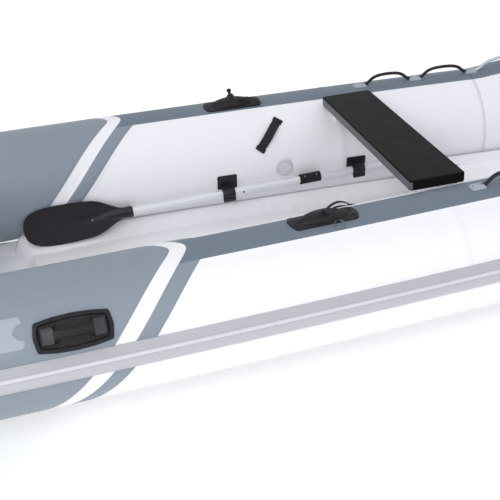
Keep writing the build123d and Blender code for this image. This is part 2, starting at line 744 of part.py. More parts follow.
with BuildPart() as oar_clips:
    for clip_x in (-211.0, 331.0):
        clip_frame = tube_plane(clip_x, CLIP_TURN)
        with BuildSketch(clip_frame):
            RectangleRounded(80, 62, 6)
        extrude(amount=TUBE_R + 40)
        across = Plane(origin=clip_frame.origin, x_dir=clip_frame.z_dir, z_dir=clip_frame.x_dir)
        with BuildSketch(across):
            Circle(TUBE_R + LIFT)
        extrude(amount=60, both=True, mode=Mode.SUBTRACT)
        with BuildSketch(across):
            Circle(TUBE_R + 60)
            Circle(TUBE_R + 4.2, mode=Mode.SUBTRACT)
        extrude(amount=60, both=True, mode=Mode.SUBTRACT)
save(both_sides(oar_clips), "oar_clips")

with BuildPart() as clip_hooks:
    for clip_x in (-222.0, 318.0):
        centre = oar_point(clip_x)
        hook_plane = Plane(origin=centre - oar_dir * 28, x_dir=oar_face, z_dir=oar_dir)
        inner_r = SHAFT_R + 1.0
        outer_r = SHAFT_R + 5.5
        with BuildSketch(hook_plane):
            Circle(outer_r)
            Circle(inner_r, mode=Mode.SUBTRACT)
            with Locations((-outer_r / 2 - 6, 0)):
                Rectangle(outer_r + 8, 2 * outer_r + 2, mode=Mode.SUBTRACT)
        extrude(amount=56)
save(both_sides(clip_hooks), "clip_hooks")

# ---------------------------------------------------------------- grab straps, valves, patches
STRAP_HALF = 80.0
strap_frame = tube_plane(-19, -53)
strap_dir = (strap_frame.x_dir + strap_frame.y_dir * 1.18).normalized()
with BuildPart() as grab_strap:
    strap_plane = Plane(origin=strap_frame.origin, x_dir=strap_dir, z_dir=strap_dir.cross(strap_frame.z_dir))
    with BuildSketch(strap_plane):
        with BuildLine():
            ThreePointArc((-STRAP_HALF, TUBE_R - 6), (0, TUBE_R + 13), (STRAP_HALF, TUBE_R - 6))
            Line((STRAP_HALF, TUBE_R - 6), (STRAP_HALF, TUBE_R - 3))
            ThreePointArc((STRAP_HALF, TUBE_R - 3), (0, TUBE_R + 16), (-STRAP_HALF, TUBE_R - 3))
            Line((-STRAP_HALF, TUBE_R - 3), (-STRAP_HALF, TUBE_R - 6))
        make_face()
    extrude(amount=13.5, both=True)
    across = Plane(origin=strap_frame.origin, x_dir=strap_frame.z_dir, z_dir=strap_frame.x_dir)
    with BuildSketch(across):
        Circle(TUBE_R + LIFT)
    extrude(amount=150, both=True, mode=Mode.SUBTRACT)
save(both_sides(grab_strap), "grab_straps")

valve_frame = tube_plane(VALVE_X, VALVE_TURN)


with BuildPart() as side_valve:
    with BuildSketch(valve_frame.offset(TUBE_R + 1.0)):
        Circle(33)
    extrude(amount=4)
    with BuildSketch(valve_frame.offset(TUBE_R - 34)):
        Circle(VALVE_HOLE_R - 0.6)
    extrude(amount=44)
    with BuildSketch(valve_frame.offset(TUBE_R - 30)):
        Circle(VALVE_HOLE_R - 3)
    extrude(amount=60, mode=Mode.SUBTRACT)
save(both_sides(side_valve), "valve_bodies")

with BuildPart() as valve_cap:
    with BuildSketch(valve_frame.offset(TUBE_R + 5)):
        Circle(VALVE_HOLE_R - 3.1)
    extrude(amount=9)
    with BuildSketch(valve_frame.offset(TUBE_R + 10.5)):
        Circle(VALVE_HOLE_R + 1)
    extrude(amount=3.5)
    with BuildSketch(valve_frame.offset(TUBE_R + 14)):
        RectangleRounded(34, 7, 3)
    extrude(amount=5)
save_pair(valve_cap, "valve_cap")

with BuildPart() as poppet:
    with BuildSketch(valve_frame.offset(TUBE_R - 26)):
        Circle(14)
    extrude(amount=4)
    with BuildSketch(valve_frame.offset(TUBE_R - 22)):
        Circle(3)
    extrude(amount=20)
save_pair(poppet, "valve_poppet")

# ---------------------------------------------------------------- lifelines
ROPE_LIFT = ROPE_D / 2 + 4.8      # the rope's centre over the tube where a patch holds it
LOOP_RISE = 44.0
LINE_PATCHES = [420.0, 661.0, 912.0]


def over_side(x, lift):
    return Vector(x, axis_y(x), AXIS_Z + TUBE_R + lift)


def over_bow(turn, lift):
    return bow_point(turn, BOW_R, TUBE_R + lift)


route = [over_side(392, ROPE_LIFT)]
for first, last in zip(LINE_PATCHES, LINE_PATCHES[1:]):
    span = last - first
    route.append(over_side(first + 25, ROPE_LIFT))
    route.append(over_side(first + span * 0.32, ROPE_LIFT + LOOP_RISE))
    route.append(over_side(last - span * 0.32, ROPE_LIFT + LOOP_RISE))
    route.append(over_side(last - 25, ROPE_LIFT))
route.append(over_side(912 + 28, ROPE_LIFT + 2))
route.append(over_bow(radians(9), ROPE_LIFT + LOOP_RISE))
route.append(over_bow(radians(30), ROPE_LIFT + LOOP_RISE))
route.append(over_bow(radians(47), ROPE_LIFT))
route.append(over_bow(radians(56), ROPE_LIFT))


def arc_radius(before, corner, after):
    """The largest arc that two runs of the rope allow at a corner."""
    turn = (corner - before).get_angle(after - corner)
    shorter = min((corner - before).length, (after - corner).length)
    return 0.45 * shorter / max(0.001, sin(radians(turn / 2)) / cos(radians(turn / 2)))


radii = [arc_radius(a, b, c) for a, b, c in zip(route, route[1:], route[2:])]
print("lifeline radii", [round(r) for r in radii])
with BuildPart() as lifeline:
    with BuildLine() as rope_path:
        FilletPolyline(*route, radius=radii)
    rope_start = (route[1] - route[0]).normalized()
    with BuildSketch(Plane(origin=route[0], z_dir=rope_start)):
        Circle(ROPE_D / 2)
    sweep(path=rope_path.wires()[0])
save_pair(lifeline, "lifeline")

with BuildPart() as bonded_patches:
    add(bonded_pad(tube_plane(-1180, 50), 140, 95, 14, 1.2).part)
    for patch_x in LINE_PATCHES:
        patch_frame = tube_plane(patch_x, 0)
        with BuildSketch(patch_frame.offset(TUBE_R + 2)):
            RectangleRounded(54, 40, 10)
        extrude(amount=2.2)
save(both_sides(bonded_patches), "bonded_patches")
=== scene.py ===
"""Looks of the rigid inflatable dinghy: tubes, hull liner, thwart, oars, oarlocks and fittings."""

import math

import bpy
from bpy.props import FloatProperty, FloatVectorProperty, PointerProperty
from mathutils import Matrix, Vector


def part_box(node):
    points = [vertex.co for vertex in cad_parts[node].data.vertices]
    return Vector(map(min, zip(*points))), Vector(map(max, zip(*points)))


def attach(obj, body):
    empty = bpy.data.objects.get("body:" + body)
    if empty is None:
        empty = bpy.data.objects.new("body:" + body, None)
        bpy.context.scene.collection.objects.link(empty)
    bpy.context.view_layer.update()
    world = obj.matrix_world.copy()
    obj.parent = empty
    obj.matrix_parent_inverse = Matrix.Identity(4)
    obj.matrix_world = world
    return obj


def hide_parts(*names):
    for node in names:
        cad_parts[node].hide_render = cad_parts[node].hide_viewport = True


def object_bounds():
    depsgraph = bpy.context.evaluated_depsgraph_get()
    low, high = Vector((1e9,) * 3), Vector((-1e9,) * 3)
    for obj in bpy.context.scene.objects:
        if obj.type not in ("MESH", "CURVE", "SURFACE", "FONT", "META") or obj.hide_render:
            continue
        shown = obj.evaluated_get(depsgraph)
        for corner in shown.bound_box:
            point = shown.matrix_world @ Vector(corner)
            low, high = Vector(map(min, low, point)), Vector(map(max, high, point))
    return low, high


bl_info = {
    "name": "Inflatable dinghy",
    "version": (1, 0, 0),
    "blender": (4, 5, 0),
    "location": "3D View > Sidebar > Dinghy",
    "description": "Builds the looks of a rigid inflatable dinghy around its frame",
    "category": "Object",
}

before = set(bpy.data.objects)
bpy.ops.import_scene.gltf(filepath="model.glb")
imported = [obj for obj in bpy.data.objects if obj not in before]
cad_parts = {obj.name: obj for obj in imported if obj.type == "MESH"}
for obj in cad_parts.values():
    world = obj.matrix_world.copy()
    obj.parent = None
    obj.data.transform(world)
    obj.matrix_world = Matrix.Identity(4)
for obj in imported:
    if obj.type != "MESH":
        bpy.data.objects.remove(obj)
CAD_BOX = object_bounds()
SIDES = {"port": 1, "starboard": -1}

# the boat's own measures, in metres
TUBE_R = 0.215
AXIS_Z = 0.330
HALF_SPACING = 0.5713      # from the centreline to a tube's axis, where the boat is widest
X_WIDEST = -1.637
PLAN_R = 38.168            # radius of a side tube's sweep, seen from above
X_CONE = -1.300            # where the side tubes end and the cones begin
X_RISE = 0.900             # where the tubes turn up towards the bow
RISE = math.radians(10)
RISE_R = 0.700
CONE_TIP_R = 0.078
SKIN = 0.0009              # thickness of the fabric
BUTT = 0.0004              # left clear where two skins meet end to end
SOLE_Z = 0.135
WELL_Z = 0.070
X_LOCKER = 0.620           # the bow locker's aft face
SHAFT_R = 0.016

PORT = Vector((0, 1, 0))
UP = Vector((0, 0, 1))


# ------------------------------------------------------------------ colour and material tools
def linear(colour):
    """sRGB hex, or three sRGB numbers, as linear RGBA."""
    if isinstance(colour, str):
        colour = [int(colour[i:i + 2], 16) / 255 for i in (1, 3, 5)]
    return [c / 12.92 if c <= 0.04045 else ((c + 0.055) / 1.055) ** 2.4 for c in colour[:3]] + [1.0]


def srgb(colour):
    """A hex colour as the three sRGB numbers that a colour property holds."""
    return tuple(int(colour[i:i + 2], 16) / 255 for i in (1, 3, 5))


def add_node(tree, kind, inputs=None, **settings):
    """Add a node, set its settings, and set or link its inputs."""
    made = tree.nodes.new(kind)
    for name, value in settings.items():
        setattr(made, name, value)
    for name, value in (inputs or {}).items():
        if isinstance(value, bpy.types.NodeSocket):
            tree.links.new(value, made.inputs[name])
        else:
            made.inputs[name].default_value = value
    return made


def surface(name, colour, roughness, mottle=0.04, mottle_size=0.12, grain=0.0008, bump=0.05,
            rough_spread=0.06, **shader):
    """A material whose colour, roughness and height vary over the surface in object space."""
    made = bpy.data.materials.new(name)
    made.use_nodes = True
    tree = made.node_tree
    shade = tree.nodes["Principled BSDF"]
    where = add_node(tree, "ShaderNodeTexCoord").outputs["Object"]
    broad = add_node(tree, "ShaderNodeTexNoise",
                     {"Vector": where, "Scale": 1 / mottle_size, "Detail": 4.0, "Roughness": 0.55})
    fine = add_node(tree, "ShaderNodeTexNoise",
                    {"Vector": where, "Scale": 1 / grain, "Detail": 2.0, "Roughness": 0.5})
    base = linear(colour)
    dark = [c * (1 - mottle) for c in base[:3]] + [1.0]
    light = [min(1.0, c * (1 + mottle)) for c in base[:3]] + [1.0]
    tone = add_node(tree, "ShaderNodeMix", {0: broad.outputs["Fac"], 6: dark, 7: light}, data_type="RGBA")
    tree.links.new(tone.outputs[2], shade.inputs["Base Color"])
    wear = add_node(tree, "ShaderNodeMapRange",
                    {"Value": broad.outputs["Fac"], "From Min": 0.3, "From Max": 0.7,
                     "To Min": roughness - rough_spread, "To Max": roughness + rough_spread})
    tree.links.new(wear.outputs["Result"], shade.inputs["Roughness"])
    height = add_node(tree, "ShaderNodeBump",
                      {"Height": fine.outputs["Fac"], "Strength": bump, "Distance": grain})
    tree.links.new(height.outputs["Normal"], shade.inputs["Normal"])
    for socket, value in shader.items():
        shade.inputs[socket.replace("_", " ")].default_value = value
    return made


FINISHES = {}


def finish_of(name):
    """The material of that name, made the first time it is asked for."""
    if name not in FINISHES:
        FINISHES[name] = MAKERS[name](bpy.context.scene.dinghy_looks)
    return FINISHES[name]


# Coated polyester: a calendered PVC skin over a weave, so an even satin sheen with a faint mottle.
def grey_fabric(looks):
    return surface("PVC coated polyester, grey", looks.grey, 0.46, mottle=0.04, mottle_size=0.35,
                   grain=0.0024, bump=0.05, Specular_IOR_Level=0.32)


# The grey band along the tubes' tops: a real grey strip, drawn darker than the grey panels as painted shade
# on the tops.
def band_fabric_painted_shade(looks):
    return surface("PVC coated polyester, grey band, painted shade", looks.band, 0.5, mottle=0.04, mottle_size=0.3,
                   grain=0.0018, bump=0.08, Specular_IOR_Level=0.25)


def white_fabric(looks):
    return surface("PVC coated polyester, white", looks.white, 0.46, mottle=0.012, mottle_size=0.4,
                   grain=0.0024, bump=0.04, Specular_IOR_Level=0.3)


def patch_fabric(looks):
    return surface("PVC patch, light grey", looks.patch, 0.5, mottle=0.03, grain=0.0015, bump=0.08)


# Gelcoat: sprayed polyester over glass, glossy, with a very slight orange peel from the mould.
def gelcoat(looks):
    return surface("Gelcoat on glass fibre", looks.gelcoat, 0.24, mottle=0.012, mottle_size=0.5,
                   grain=0.012, bump=0.03, Coat_Weight=0.25, Coat_Roughness=0.08)


# Moulded EPDM rubber: matt, with wear that lightens the raised places a little.
def black_rubber(looks):
    return surface("EPDM rubber, black", looks.rubber, 0.55, mottle=0.22, mottle_size=0.03,
                   grain=0.0016, bump=0.2, rough_spread=0.08, Specular_IOR_Level=0.35)


# The same rubber on the grip's end blocks, drawn paler.
def grip_pad(looks):
    return surface("EPDM rubber, paler", "#2f2f33", 0.5, mottle=0.2, mottle_size=0.02, grain=0.0012,
                   bump=0.2)


# Extruded PVC: drawn through a die, so even along its length, and softer in sheen than gelcoat.
def strake_rubber(looks):
    return surface("Extruded PVC strake, grey", looks.strake, 0.5, mottle=0.03, mottle_size=0.2,
                   grain=0.0015, bump=0.08, rough_spread=0.05)


def white_rubber(looks):
    return surface("Extruded PVC insert, white", looks.insert, 0.36, mottle=0.01, grain=0.002, bump=0.04)


# Glass-filled nylon: moulded, with a light spark-eroded texture.
def black_plastic(looks):
    return surface("Glass-filled nylon, black", looks.plastic, 0.4, mottle=0.15, mottle_size=0.02,
                   grain=0.0012, bump=0.1, Specular_IOR_Level=0.4)


# Acetal: moulded, pale and waxy, with an even soft sheen.
def valve_plastic(looks):
    return surface("Acetal, light grey", looks.valve, 0.35, mottle=0.02, mottle_size=0.02,
                   grain=0.001, bump=0.05)


# Stainless steel: drawn and tumbled, so bright with a soft grain.
def stainless(looks):
    return surface("Stainless steel, tumbled", "#8d8f93", 0.26, mottle=0.04, mottle_size=0.01,
                   grain=0.0008, bump=0.06, Metallic=1.0)


# Anodised aluminium tube: extruded, so fine scratches run along it and the sheen is satin.
def anodised(looks):
    return surface("Anodised aluminium", looks.alloy, 0.34, mottle=0.02, mottle_size=0.05,
                   grain=0.004, bump=0.01, rough_spread=0.03, Metallic=0.3)


# Polyester webbing: woven from dull yarn, so it hardly takes a highlight.
def webbing(looks):
    return surface("Polyester webbing, black", "#151518", 0.75, mottle=0.2, mottle_size=0.004,
                   grain=0.001, bump=0.4)


# Painted marine ply thwart: sprayed black, fine texture, slight sheen.
def seat_finish(looks):
    return surface("Textured black paint on marine ply", looks.seat, 0.4, mottle=0.1, mottle_size=0.05,
                   grain=0.0018, bump=0.08, rough_spread=0.04, Specular_IOR_Level=0.06)


# The thwart's aft face: the same black paint, drawn paler than the top as a painted highlight for the light
# falling on that face.
def seat_aft_painted_highlight(looks):
    return surface("Thwart aft face, painted highlight", "#55565a", 0.45, mottle=0.1, mottle_size=0.02, grain=0.001,
                   bump=0.1)


# Polyester rope: laid from matt yarn, so a fine mottle and no sharp highlight.
def rope_finish(looks):
    return surface("Polyester rope, black", looks.rope, 0.7, mottle=0.2, mottle_size=0.004,
                   grain=0.001, bump=0.3)


# The bow loops' rope: drawn pale grey as a painted highlight where light catches the rope.
def rope_painted_highlight(looks):
    return surface("Polyester rope, pale grey painted highlight", looks.rope_painted_highlight, 0.65, mottle=0.08, mottle_size=0.004,
                   grain=0.001, bump=0.3)


MAKERS = {
    "grey_fabric": grey_fabric, "band": band_fabric_painted_shade, "white_fabric": white_fabric, "patch": patch_fabric,
    "gelcoat": gelcoat, "black_rubber": black_rubber, "grip_pad": grip_pad,
    "strake_rubber": strake_rubber, "white_rubber": white_rubber, "black_plastic": black_plastic,
    "valve_plastic": valve_plastic, "stainless": stainless, "anodised": anodised, "webbing": webbing,
    "seat": seat_finish, "seat_aft_painted_highlight": seat_aft_painted_highlight, "rope": rope_finish, "rope_painted_highlight": rope_painted_highlight,
}


# ------------------------------------------------------------------ modelling tools
def select_only(piece):
    bpy.ops.object.select_all(action="DESELECT")
    piece.select_set(True)
    bpy.context.view_layer.objects.active = piece


def in_edit_mode(piece, *jobs):
    """Run mesh operators on the whole of a piece."""
    select_only(piece)
    bpy.ops.object.mode_set(mode="EDIT")
    bpy.ops.mesh.select_all(action="SELECT")
    for job in jobs:
        job()
    bpy.ops.object.mode_set(mode="OBJECT")


def close_up(piece):
    """Merge a piece's doubled points and turn its faces outwards."""
    in_edit_mode(piece, lambda: bpy.ops.mesh.remove_doubles(threshold=1e-6),
                 lambda: bpy.ops.mesh.normals_make_consistent(inside=False))


def thicken(piece, wall):
    """Give a skin its wall, on the inner side."""
    select_only(piece)
    layer = piece.modifiers.new("Wall", "SOLIDIFY")
    layer.thickness = wall
    layer.offset = -1
    bpy.ops.object.modifier_apply(modifier="Wall")


def loft(name, rings, closed=True, caps=(True, True), pick=None, finishes=(), thick=0.0, smooth=40):
    """Skin a row of rings: a grid is added, its rows are laid on the rings, and its seam is merged.

    pick(row, column) gives the index into finishes of each cell.
    """
    rings = [list(ring) for ring in rings]
    if caps[0]:
        rings.insert(0, [sum(rings[0], Vector()) / len(rings[0])] * len(rings[0]))
    if caps[1]:
        rings.append([sum(rings[-1], Vector()) / len(rings[-1])] * len(rings[-1]))
    if closed:
        rings = [ring + [ring[0]] for ring in rings]
    across, along = len(rings[0]) - 1, len(rings) - 1
    bpy.ops.object.select_all(action="DESELECT")
    bpy.ops.mesh.primitive_grid_add(x_subdivisions=across, y_subdivisions=along, size=2)
    piece = bpy.context.active_object
    piece.name = name
    piece.data.name = name
    for finish in finishes:
        piece.data.materials.append(finish_of(finish))
    cells = [(round((v.co.y + 1) / 2 * along), round((v.co.x + 1) / 2 * across))
             for v in piece.data.vertices]
    if pick:
        lead = 1 if caps[0] else 0
        for face in piece.data.polygons:
            row, column = (min(cells[v][way] for v in face.vertices) for way in (0, 1))
            face.material_index = pick(row - lead, column)
    for vertex, (row, column) in zip(piece.data.vertices, cells):
        vertex.co = rings[row][column]
    close_up(piece)
    if thick:
        thicken(piece, thick)
    select_only(piece)
    bpy.ops.object.shade_smooth_by_angle(angle=math.radians(smooth))
    return piece


def join(name, pieces):
    """Make one piece of several."""
    bpy.ops.object.select_all(action="DESELECT")
    for piece in pieces:
        piece.select_set(True)
    bpy.context.view_layer.objects.active = pieces[0]
    bpy.ops.object.join()
    pieces[0].name = name
    pieces[0].data.name = name
    return pieces[0]


def settle(piece, body, slot, *nodes):
    """The piece moves with its body and stands for its CAD nodes; slot is not used."""
    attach(piece, body)
    if nodes:
        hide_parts(*nodes)
    return piece


def dress(node, finish):
    """Give a carried-over CAD node its material."""
    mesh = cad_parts[node].data
    mesh.materials.clear()
    mesh.materials.append(finish_of(finish))


def circle(count, radius=1.0):
    turns = [2 * math.pi * k / count for k in range(count)]
    return [(radius * math.cos(turn), radius * math.sin(turn)) for turn in turns]


def rounded(length, width, corner, bends=8):
    """A rounded rectangle, as points round its outline."""
    points = []
    for cx, cy, first in ((1, 1, 0), (-1, 1, 90), (-1, -1, 180), (1, -1, 270)):
        for k in range(bends + 1):
            turn = math.radians(first + 90 * k / bends)
            points.append((cx * (length / 2 - corner) + corner * math.cos(turn),
                           cy * (width / 2 - corner) + corner * math.sin(turn)))
    return points


def softened(corners, radius, bends=6):
    """A polygon given in millimetres, as points in metres with its corners rounded."""
    corners = [Vector((u, v)) / 1000 for u, v in corners]
    points = []
    for k, corner in enumerate(corners):
        before = (corners[k - 1] - corner).normalized() * radius
        after = (corners[(k + 1) % len(corners)] - corner).normalized() * radius
        for share in [n / bends for n in range(bends + 1)]:
            points.append(corner + before * (1 - share) ** 2 + after * share ** 2)
    return points


def inset(outline, depth):
    """The outline moved inwards by depth."""
    moved = []
    count = len(outline)
    for k, (x, y) in enumerate(outline):
        ax, ay = outline[k - 1]
        bx, by = outline[(k + 1) % count]
        dx, dy = bx - ax, by - ay
        size = math.hypot(dx, dy) or 1.0
        moved.append((x - dy / size * depth, y + dx / size * depth))
    return moved


def slab(name, outline, levels, place, finish, extra=(), **options):
    """A slab or boss: the outline, inset by each level's first number, at its second number's height.

    Smaller copies of the last ring fill the top, so that it follows the curve that it lies on.
    """
    rings = [[place(u, v, height) for u, v in inset(outline, depth)] for depth, height in levels]
    depth, height = levels[-1]
    inner = inset(outline, depth)
    mid_u = sum(u for u, v in inner) / len(inner)
    mid_v = sum(v for u, v in inner) / len(inner)
    for share in (0.8, 0.55, 0.3, 0.08):
        rings.append([place(mid_u + (u - mid_u) * share, mid_v + (v - mid_v) * share, height)
                      for u, v in inner])
    return loft(name, rings, finishes=(finish, *extra), **options)


def turned(name, profile, count, place, finish, smooth):
    """A stud, screw or boss: round sections, each given by its radius and its height."""
    rings = [[place(u, v, height) for u, v in circle(count, radius)] for radius, height in profile]
    return loft(name, rings, finishes=(finish,), smooth=smooth)


# ------------------------------------------------------------------ the tubes' centreline
class Spot:
    """A frame on the tubes' centreline: forward along it, outward from the cockpit, and up."""

    def __init__(self, origin, forward, outward, up):
        self.origin, self.forward, self.outward, self.up = origin, forward, outward, up

    def at(self, turn, radius):
        """The point at that radius, turn degrees outboard of up."""
        angle = math.radians(turn)
        return self.origin + (self.outward * math.sin(angle) + self.up * math.cos(angle)) * radius

    def off(self, out, up):
        return self.origin + self.outward * out + self.up * up


def mirrored(point, side):
    return Vector((point.x, point.y * side, point.z))


def heading(x):
    return math.asin((x - X_WIDEST) / PLAN_R)


def axis_y(x):
    return HALF_SPACING - PLAN_R * (1 - math.cos(heading(x)))


def side_spot(x):
    turn = heading(x)
    return Spot(Vector((x, axis_y(x), AXIS_Z)), Vector((math.cos(turn), -math.sin(turn), 0)),
                Vector((math.sin(turn), math.cos(turn), 0)), UP)


RISE_HEADING = heading(X_RISE)
ALONG = Vector((math.cos(RISE_HEADING), -math.sin(RISE_HEADING), 0))
RISE_START = Vector((X_RISE, axis_y(X_RISE), AXIS_Z))
BOW_FORWARD = Vector((math.cos(RISE) * ALONG.x, 0, math.sin(RISE))).normalized()
BOW_UP = Vector((-BOW_FORWARD.z, 0, BOW_FORWARD.x))
RISE_END = RISE_START + ALONG * (RISE_R * math.sin(RISE)) + UP * (RISE_R * (1 - math.cos(RISE)))
BOW_START = math.asin(math.cos(RISE) * math.sin(RISE_HEADING))
BOW_R = RISE_END.y / math.cos(BOW_START)
BOW_CENTRE = RISE_END - PORT * RISE_END.y - BOW_FORWARD * (BOW_R * math.sin(BOW_START))


def rise_spot(angle):
    origin = RISE_START + ALONG * (RISE_R * math.sin(angle)) + UP * (RISE_R * (1 - math.cos(angle)))
    forward = ALONG * math.cos(angle) + UP * math.sin(angle)
    outward = Vector((-ALONG.y, ALONG.x, 0))
    return Spot(origin, forward, outward, outward.cross(forward) * -1)


def bow_spot(turn):
    outward = PORT * math.cos(turn) + BOW_FORWARD * math.sin(turn)
    forward = BOW_FORWARD * math.cos(turn) - PORT * math.sin(turn)
    return Spot(BOW_CENTRE + outward * BOW_R, forward, outward, BOW_UP)


def starboard(spot):
    """The same frame on the starboard side, run on from the bow."""
    flip = Vector((1, -1, 1))
    return Spot(spot.origin * flip, spot.forward * flip * -1, spot.outward * flip, spot.up * flip)


def steps(first, last, count):
    return [first + (last - first) * k / count for k in range(count + 1)]


def on_side(x, turn, side=1):
    """Place (forward, round, off) on a side tube's surface, about a point at x and turn degrees."""
    def place(u, v, height):
        spot = side_spot(x + u)
        return mirrored(spot.at(turn + math.degrees(v / TUBE_R), TUBE_R + height), side)
    return place


# ------------------------------------------------------------------ settings
def colour_setting(name, hex_colour):
    return FloatVectorProperty(name=name, description=f"{name}, in sRGB", subtype="COLOR_GAMMA", size=3,
                               min=0, max=1, default=srgb(hex_colour))


class DinghyLooks(bpy.types.PropertyGroup):
    grey: colour_setting("Grey fabric", "#87919b")
    # Darker than the grey fabric: painted shade on the tubes' tops, over the band's own grey.
    band: colour_setting("Grey band", "#6f7a86")
    white: colour_setting("White fabric", "#f0f0f3")
    patch: colour_setting("Patches", "#a3a9b3")
    gelcoat: colour_setting("Gelcoat", "#f7f7f9")
    rubber: colour_setting("Black rubber", "#151518")
    strake: colour_setting("Strake", "#b7b7bc")
    insert: colour_setting("Strake insert", "#cfced3")
    plastic: colour_setting("Black plastic", "#1b1b1f")
    valve: colour_setting("Valve", "#d5d4da")
    alloy: colour_setting("Oar shaft", "#e6e7ea")
    seat: colour_setting("Thwart", "#10110f")
    rope: colour_setting("Rope", "#19191c")
    # The bow loops' pale grey stands in for the rope's highlight: painted highlight.
    rope_painted_highlight: colour_setting("Bow rope painted highlight", "#c9ccd0")
    lap: FloatProperty(name="Lap height", description="How far a glued panel stands over its neighbour",
                       unit="LENGTH", default=0.0007, min=0, max=0.003)
    rope_width: FloatProperty(name="Rope diameter", description="Diameter of the grab lines",
                              unit="LENGTH", default=0.013, min=0.006, max=0.02)


# ------------------------------------------------------------------ stage
FLOOR_WIDTH = 60
# each lamp's name, place, what it is aimed at, disc size in metres and power in watts
LAMPS = (("key", (-3.2, -4.4, 3.8), (0, 0, 0.3), 3.0, 112),
         ("fill", (4.2, -4.2, 2.6), (0.4, 0, 0.3), 4.0, 15))
CAMERA_PLACE = (-1.11026, -3.22886, 2.05931)
CAMERA_YAW = math.radians(15.2498)
CAMERA_PITCH = math.radians(29.4846)
CAMERA_ROLL = math.radians(-2.9748)
CAMERA_LENS = 73.381       # in millimetres, on a sensor 36 mm wide


class DINGHY_OT_stage(bpy.types.Operator):
    """Adds the floor, the lights and the camera"""
    bl_idname = "dinghy.stage"
    bl_label = "Stage"

    def execute(self, context):
        scene = context.scene
        scene.view_settings.view_transform = "Standard"
        world = scene.world or bpy.data.worlds.new("Studio")
        scene.world = world
        world.use_nodes = True
        sky = world.node_tree.nodes["Background"]
        sky.inputs["Color"].default_value = linear("#f8faff")
        sky.inputs["Strength"].default_value = 0.84
        self.floor(context)
        for name, place, aim, size, power in LAMPS:
            bpy.ops.object.light_add(type="AREA", location=place)
            lamp = context.active_object
            lamp.name = name
            lamp.data.shape = "DISK"
            lamp.data.size = size
            lamp.data.energy = power
            lamp.rotation_euler = (Vector(aim) - Vector(place)).to_track_quat("-Z", "Y").to_euler()
        self.camera(context)
        return {"FINISHED"}

    def floor(self, context):
        """White paper, lit a little from within so that it stays clear of grey."""
        bpy.ops.mesh.primitive_grid_add(x_subdivisions=4, y_subdivisions=4, size=FLOOR_WIDTH)
        floor = context.active_object
        floor.name = "floor"
        paper = bpy.data.materials.new("White studio paper")
        paper.use_nodes = True
        shade = paper.node_tree.nodes["Principled BSDF"]
        shade.inputs["Base Color"].default_value = linear("#fdfdfd")
        shade.inputs["Roughness"].default_value = 0.9
        shade.inputs["Emission Color"].default_value = (1, 1, 1, 1)
        shade.inputs["Emission Strength"].default_value = 0.2
        floor.data.materials.append(paper)

    def camera(self, context):
        """The camera, turned from its yaw and pitch and then rolled about its own axis."""
        level = math.cos(CAMERA_PITCH)
        look = Vector((math.sin(CAMERA_YAW) * level, math.cos(CAMERA_YAW) * level, -math.sin(CAMERA_PITCH)))
        right = Vector((math.cos(CAMERA_YAW), -math.sin(CAMERA_YAW), 0))
        up = right.cross(look)
        right_rolled = right * math.cos(CAMERA_ROLL) + up * math.sin(CAMERA_ROLL)
        up_rolled = up * math.cos(CAMERA_ROLL) - right * math.sin(CAMERA_ROLL)
        bpy.ops.object.camera_add(location=CAMERA_PLACE)
        camera = context.active_object
        camera.rotation_euler = Matrix((right_rolled, up_rolled, -look)).transposed().to_euler()
        camera.data.sensor_width = 36
        camera.data.lens = CAMERA_LENS
        context.scene.camera = camera


# ------------------------------------------------------------------ tubes
STRIP = (-17.5, 19.0)      # the grey band along the top of each tube, in degrees
CHEVRON_MID = -1.5         # where the stripes' point lies, in degrees
CHEVRON_SLOPE = 0.00323    # metres aft for each degree down the side
PANEL_STEP = 0.0006        # length over which one panel steps down to the next
TAPE_LIFT = 0.0005         # how far the seam tape stands over the panel
VALVE_X, VALVE_TURN, VALVE_HOLE_R = 0.029, -90.7, 0.024
GORE_TURN = math.radians(48)
CUFF = 0.012               # length of each cone's fabric that laps over its tube
CAP_LENGTH = 0.045


def around():
    """The turns of the tubes' rows, with two close rows where the top band's edges step down."""
    step = 0.11
    rows = [-180 + 5 * k for k in range(72)]
    rows = [r for r in rows if all(abs(r - edge) > 1.8 for edge in STRIP)]
    for edge in STRIP:
        rows += [edge - step, edge + step]
    return sorted(rows)


ROWS = around()


def in_strip(turn):
    return STRIP[0] < turn < STRIP[1]


def strip_cell(column):
    """Whether the cell from that row of the tube to the next is in the band."""
    return STRIP[0] < ROWS[column] < STRIP[1] - 0.5


def chevron(x, soft, turn):
    """Where a stripe's edge crosses that row: a point at the top, rounded over soft degrees."""
    down = turn - CHEVRON_MID
    return x - CHEVRON_SLOPE * math.hypot(down, soft)


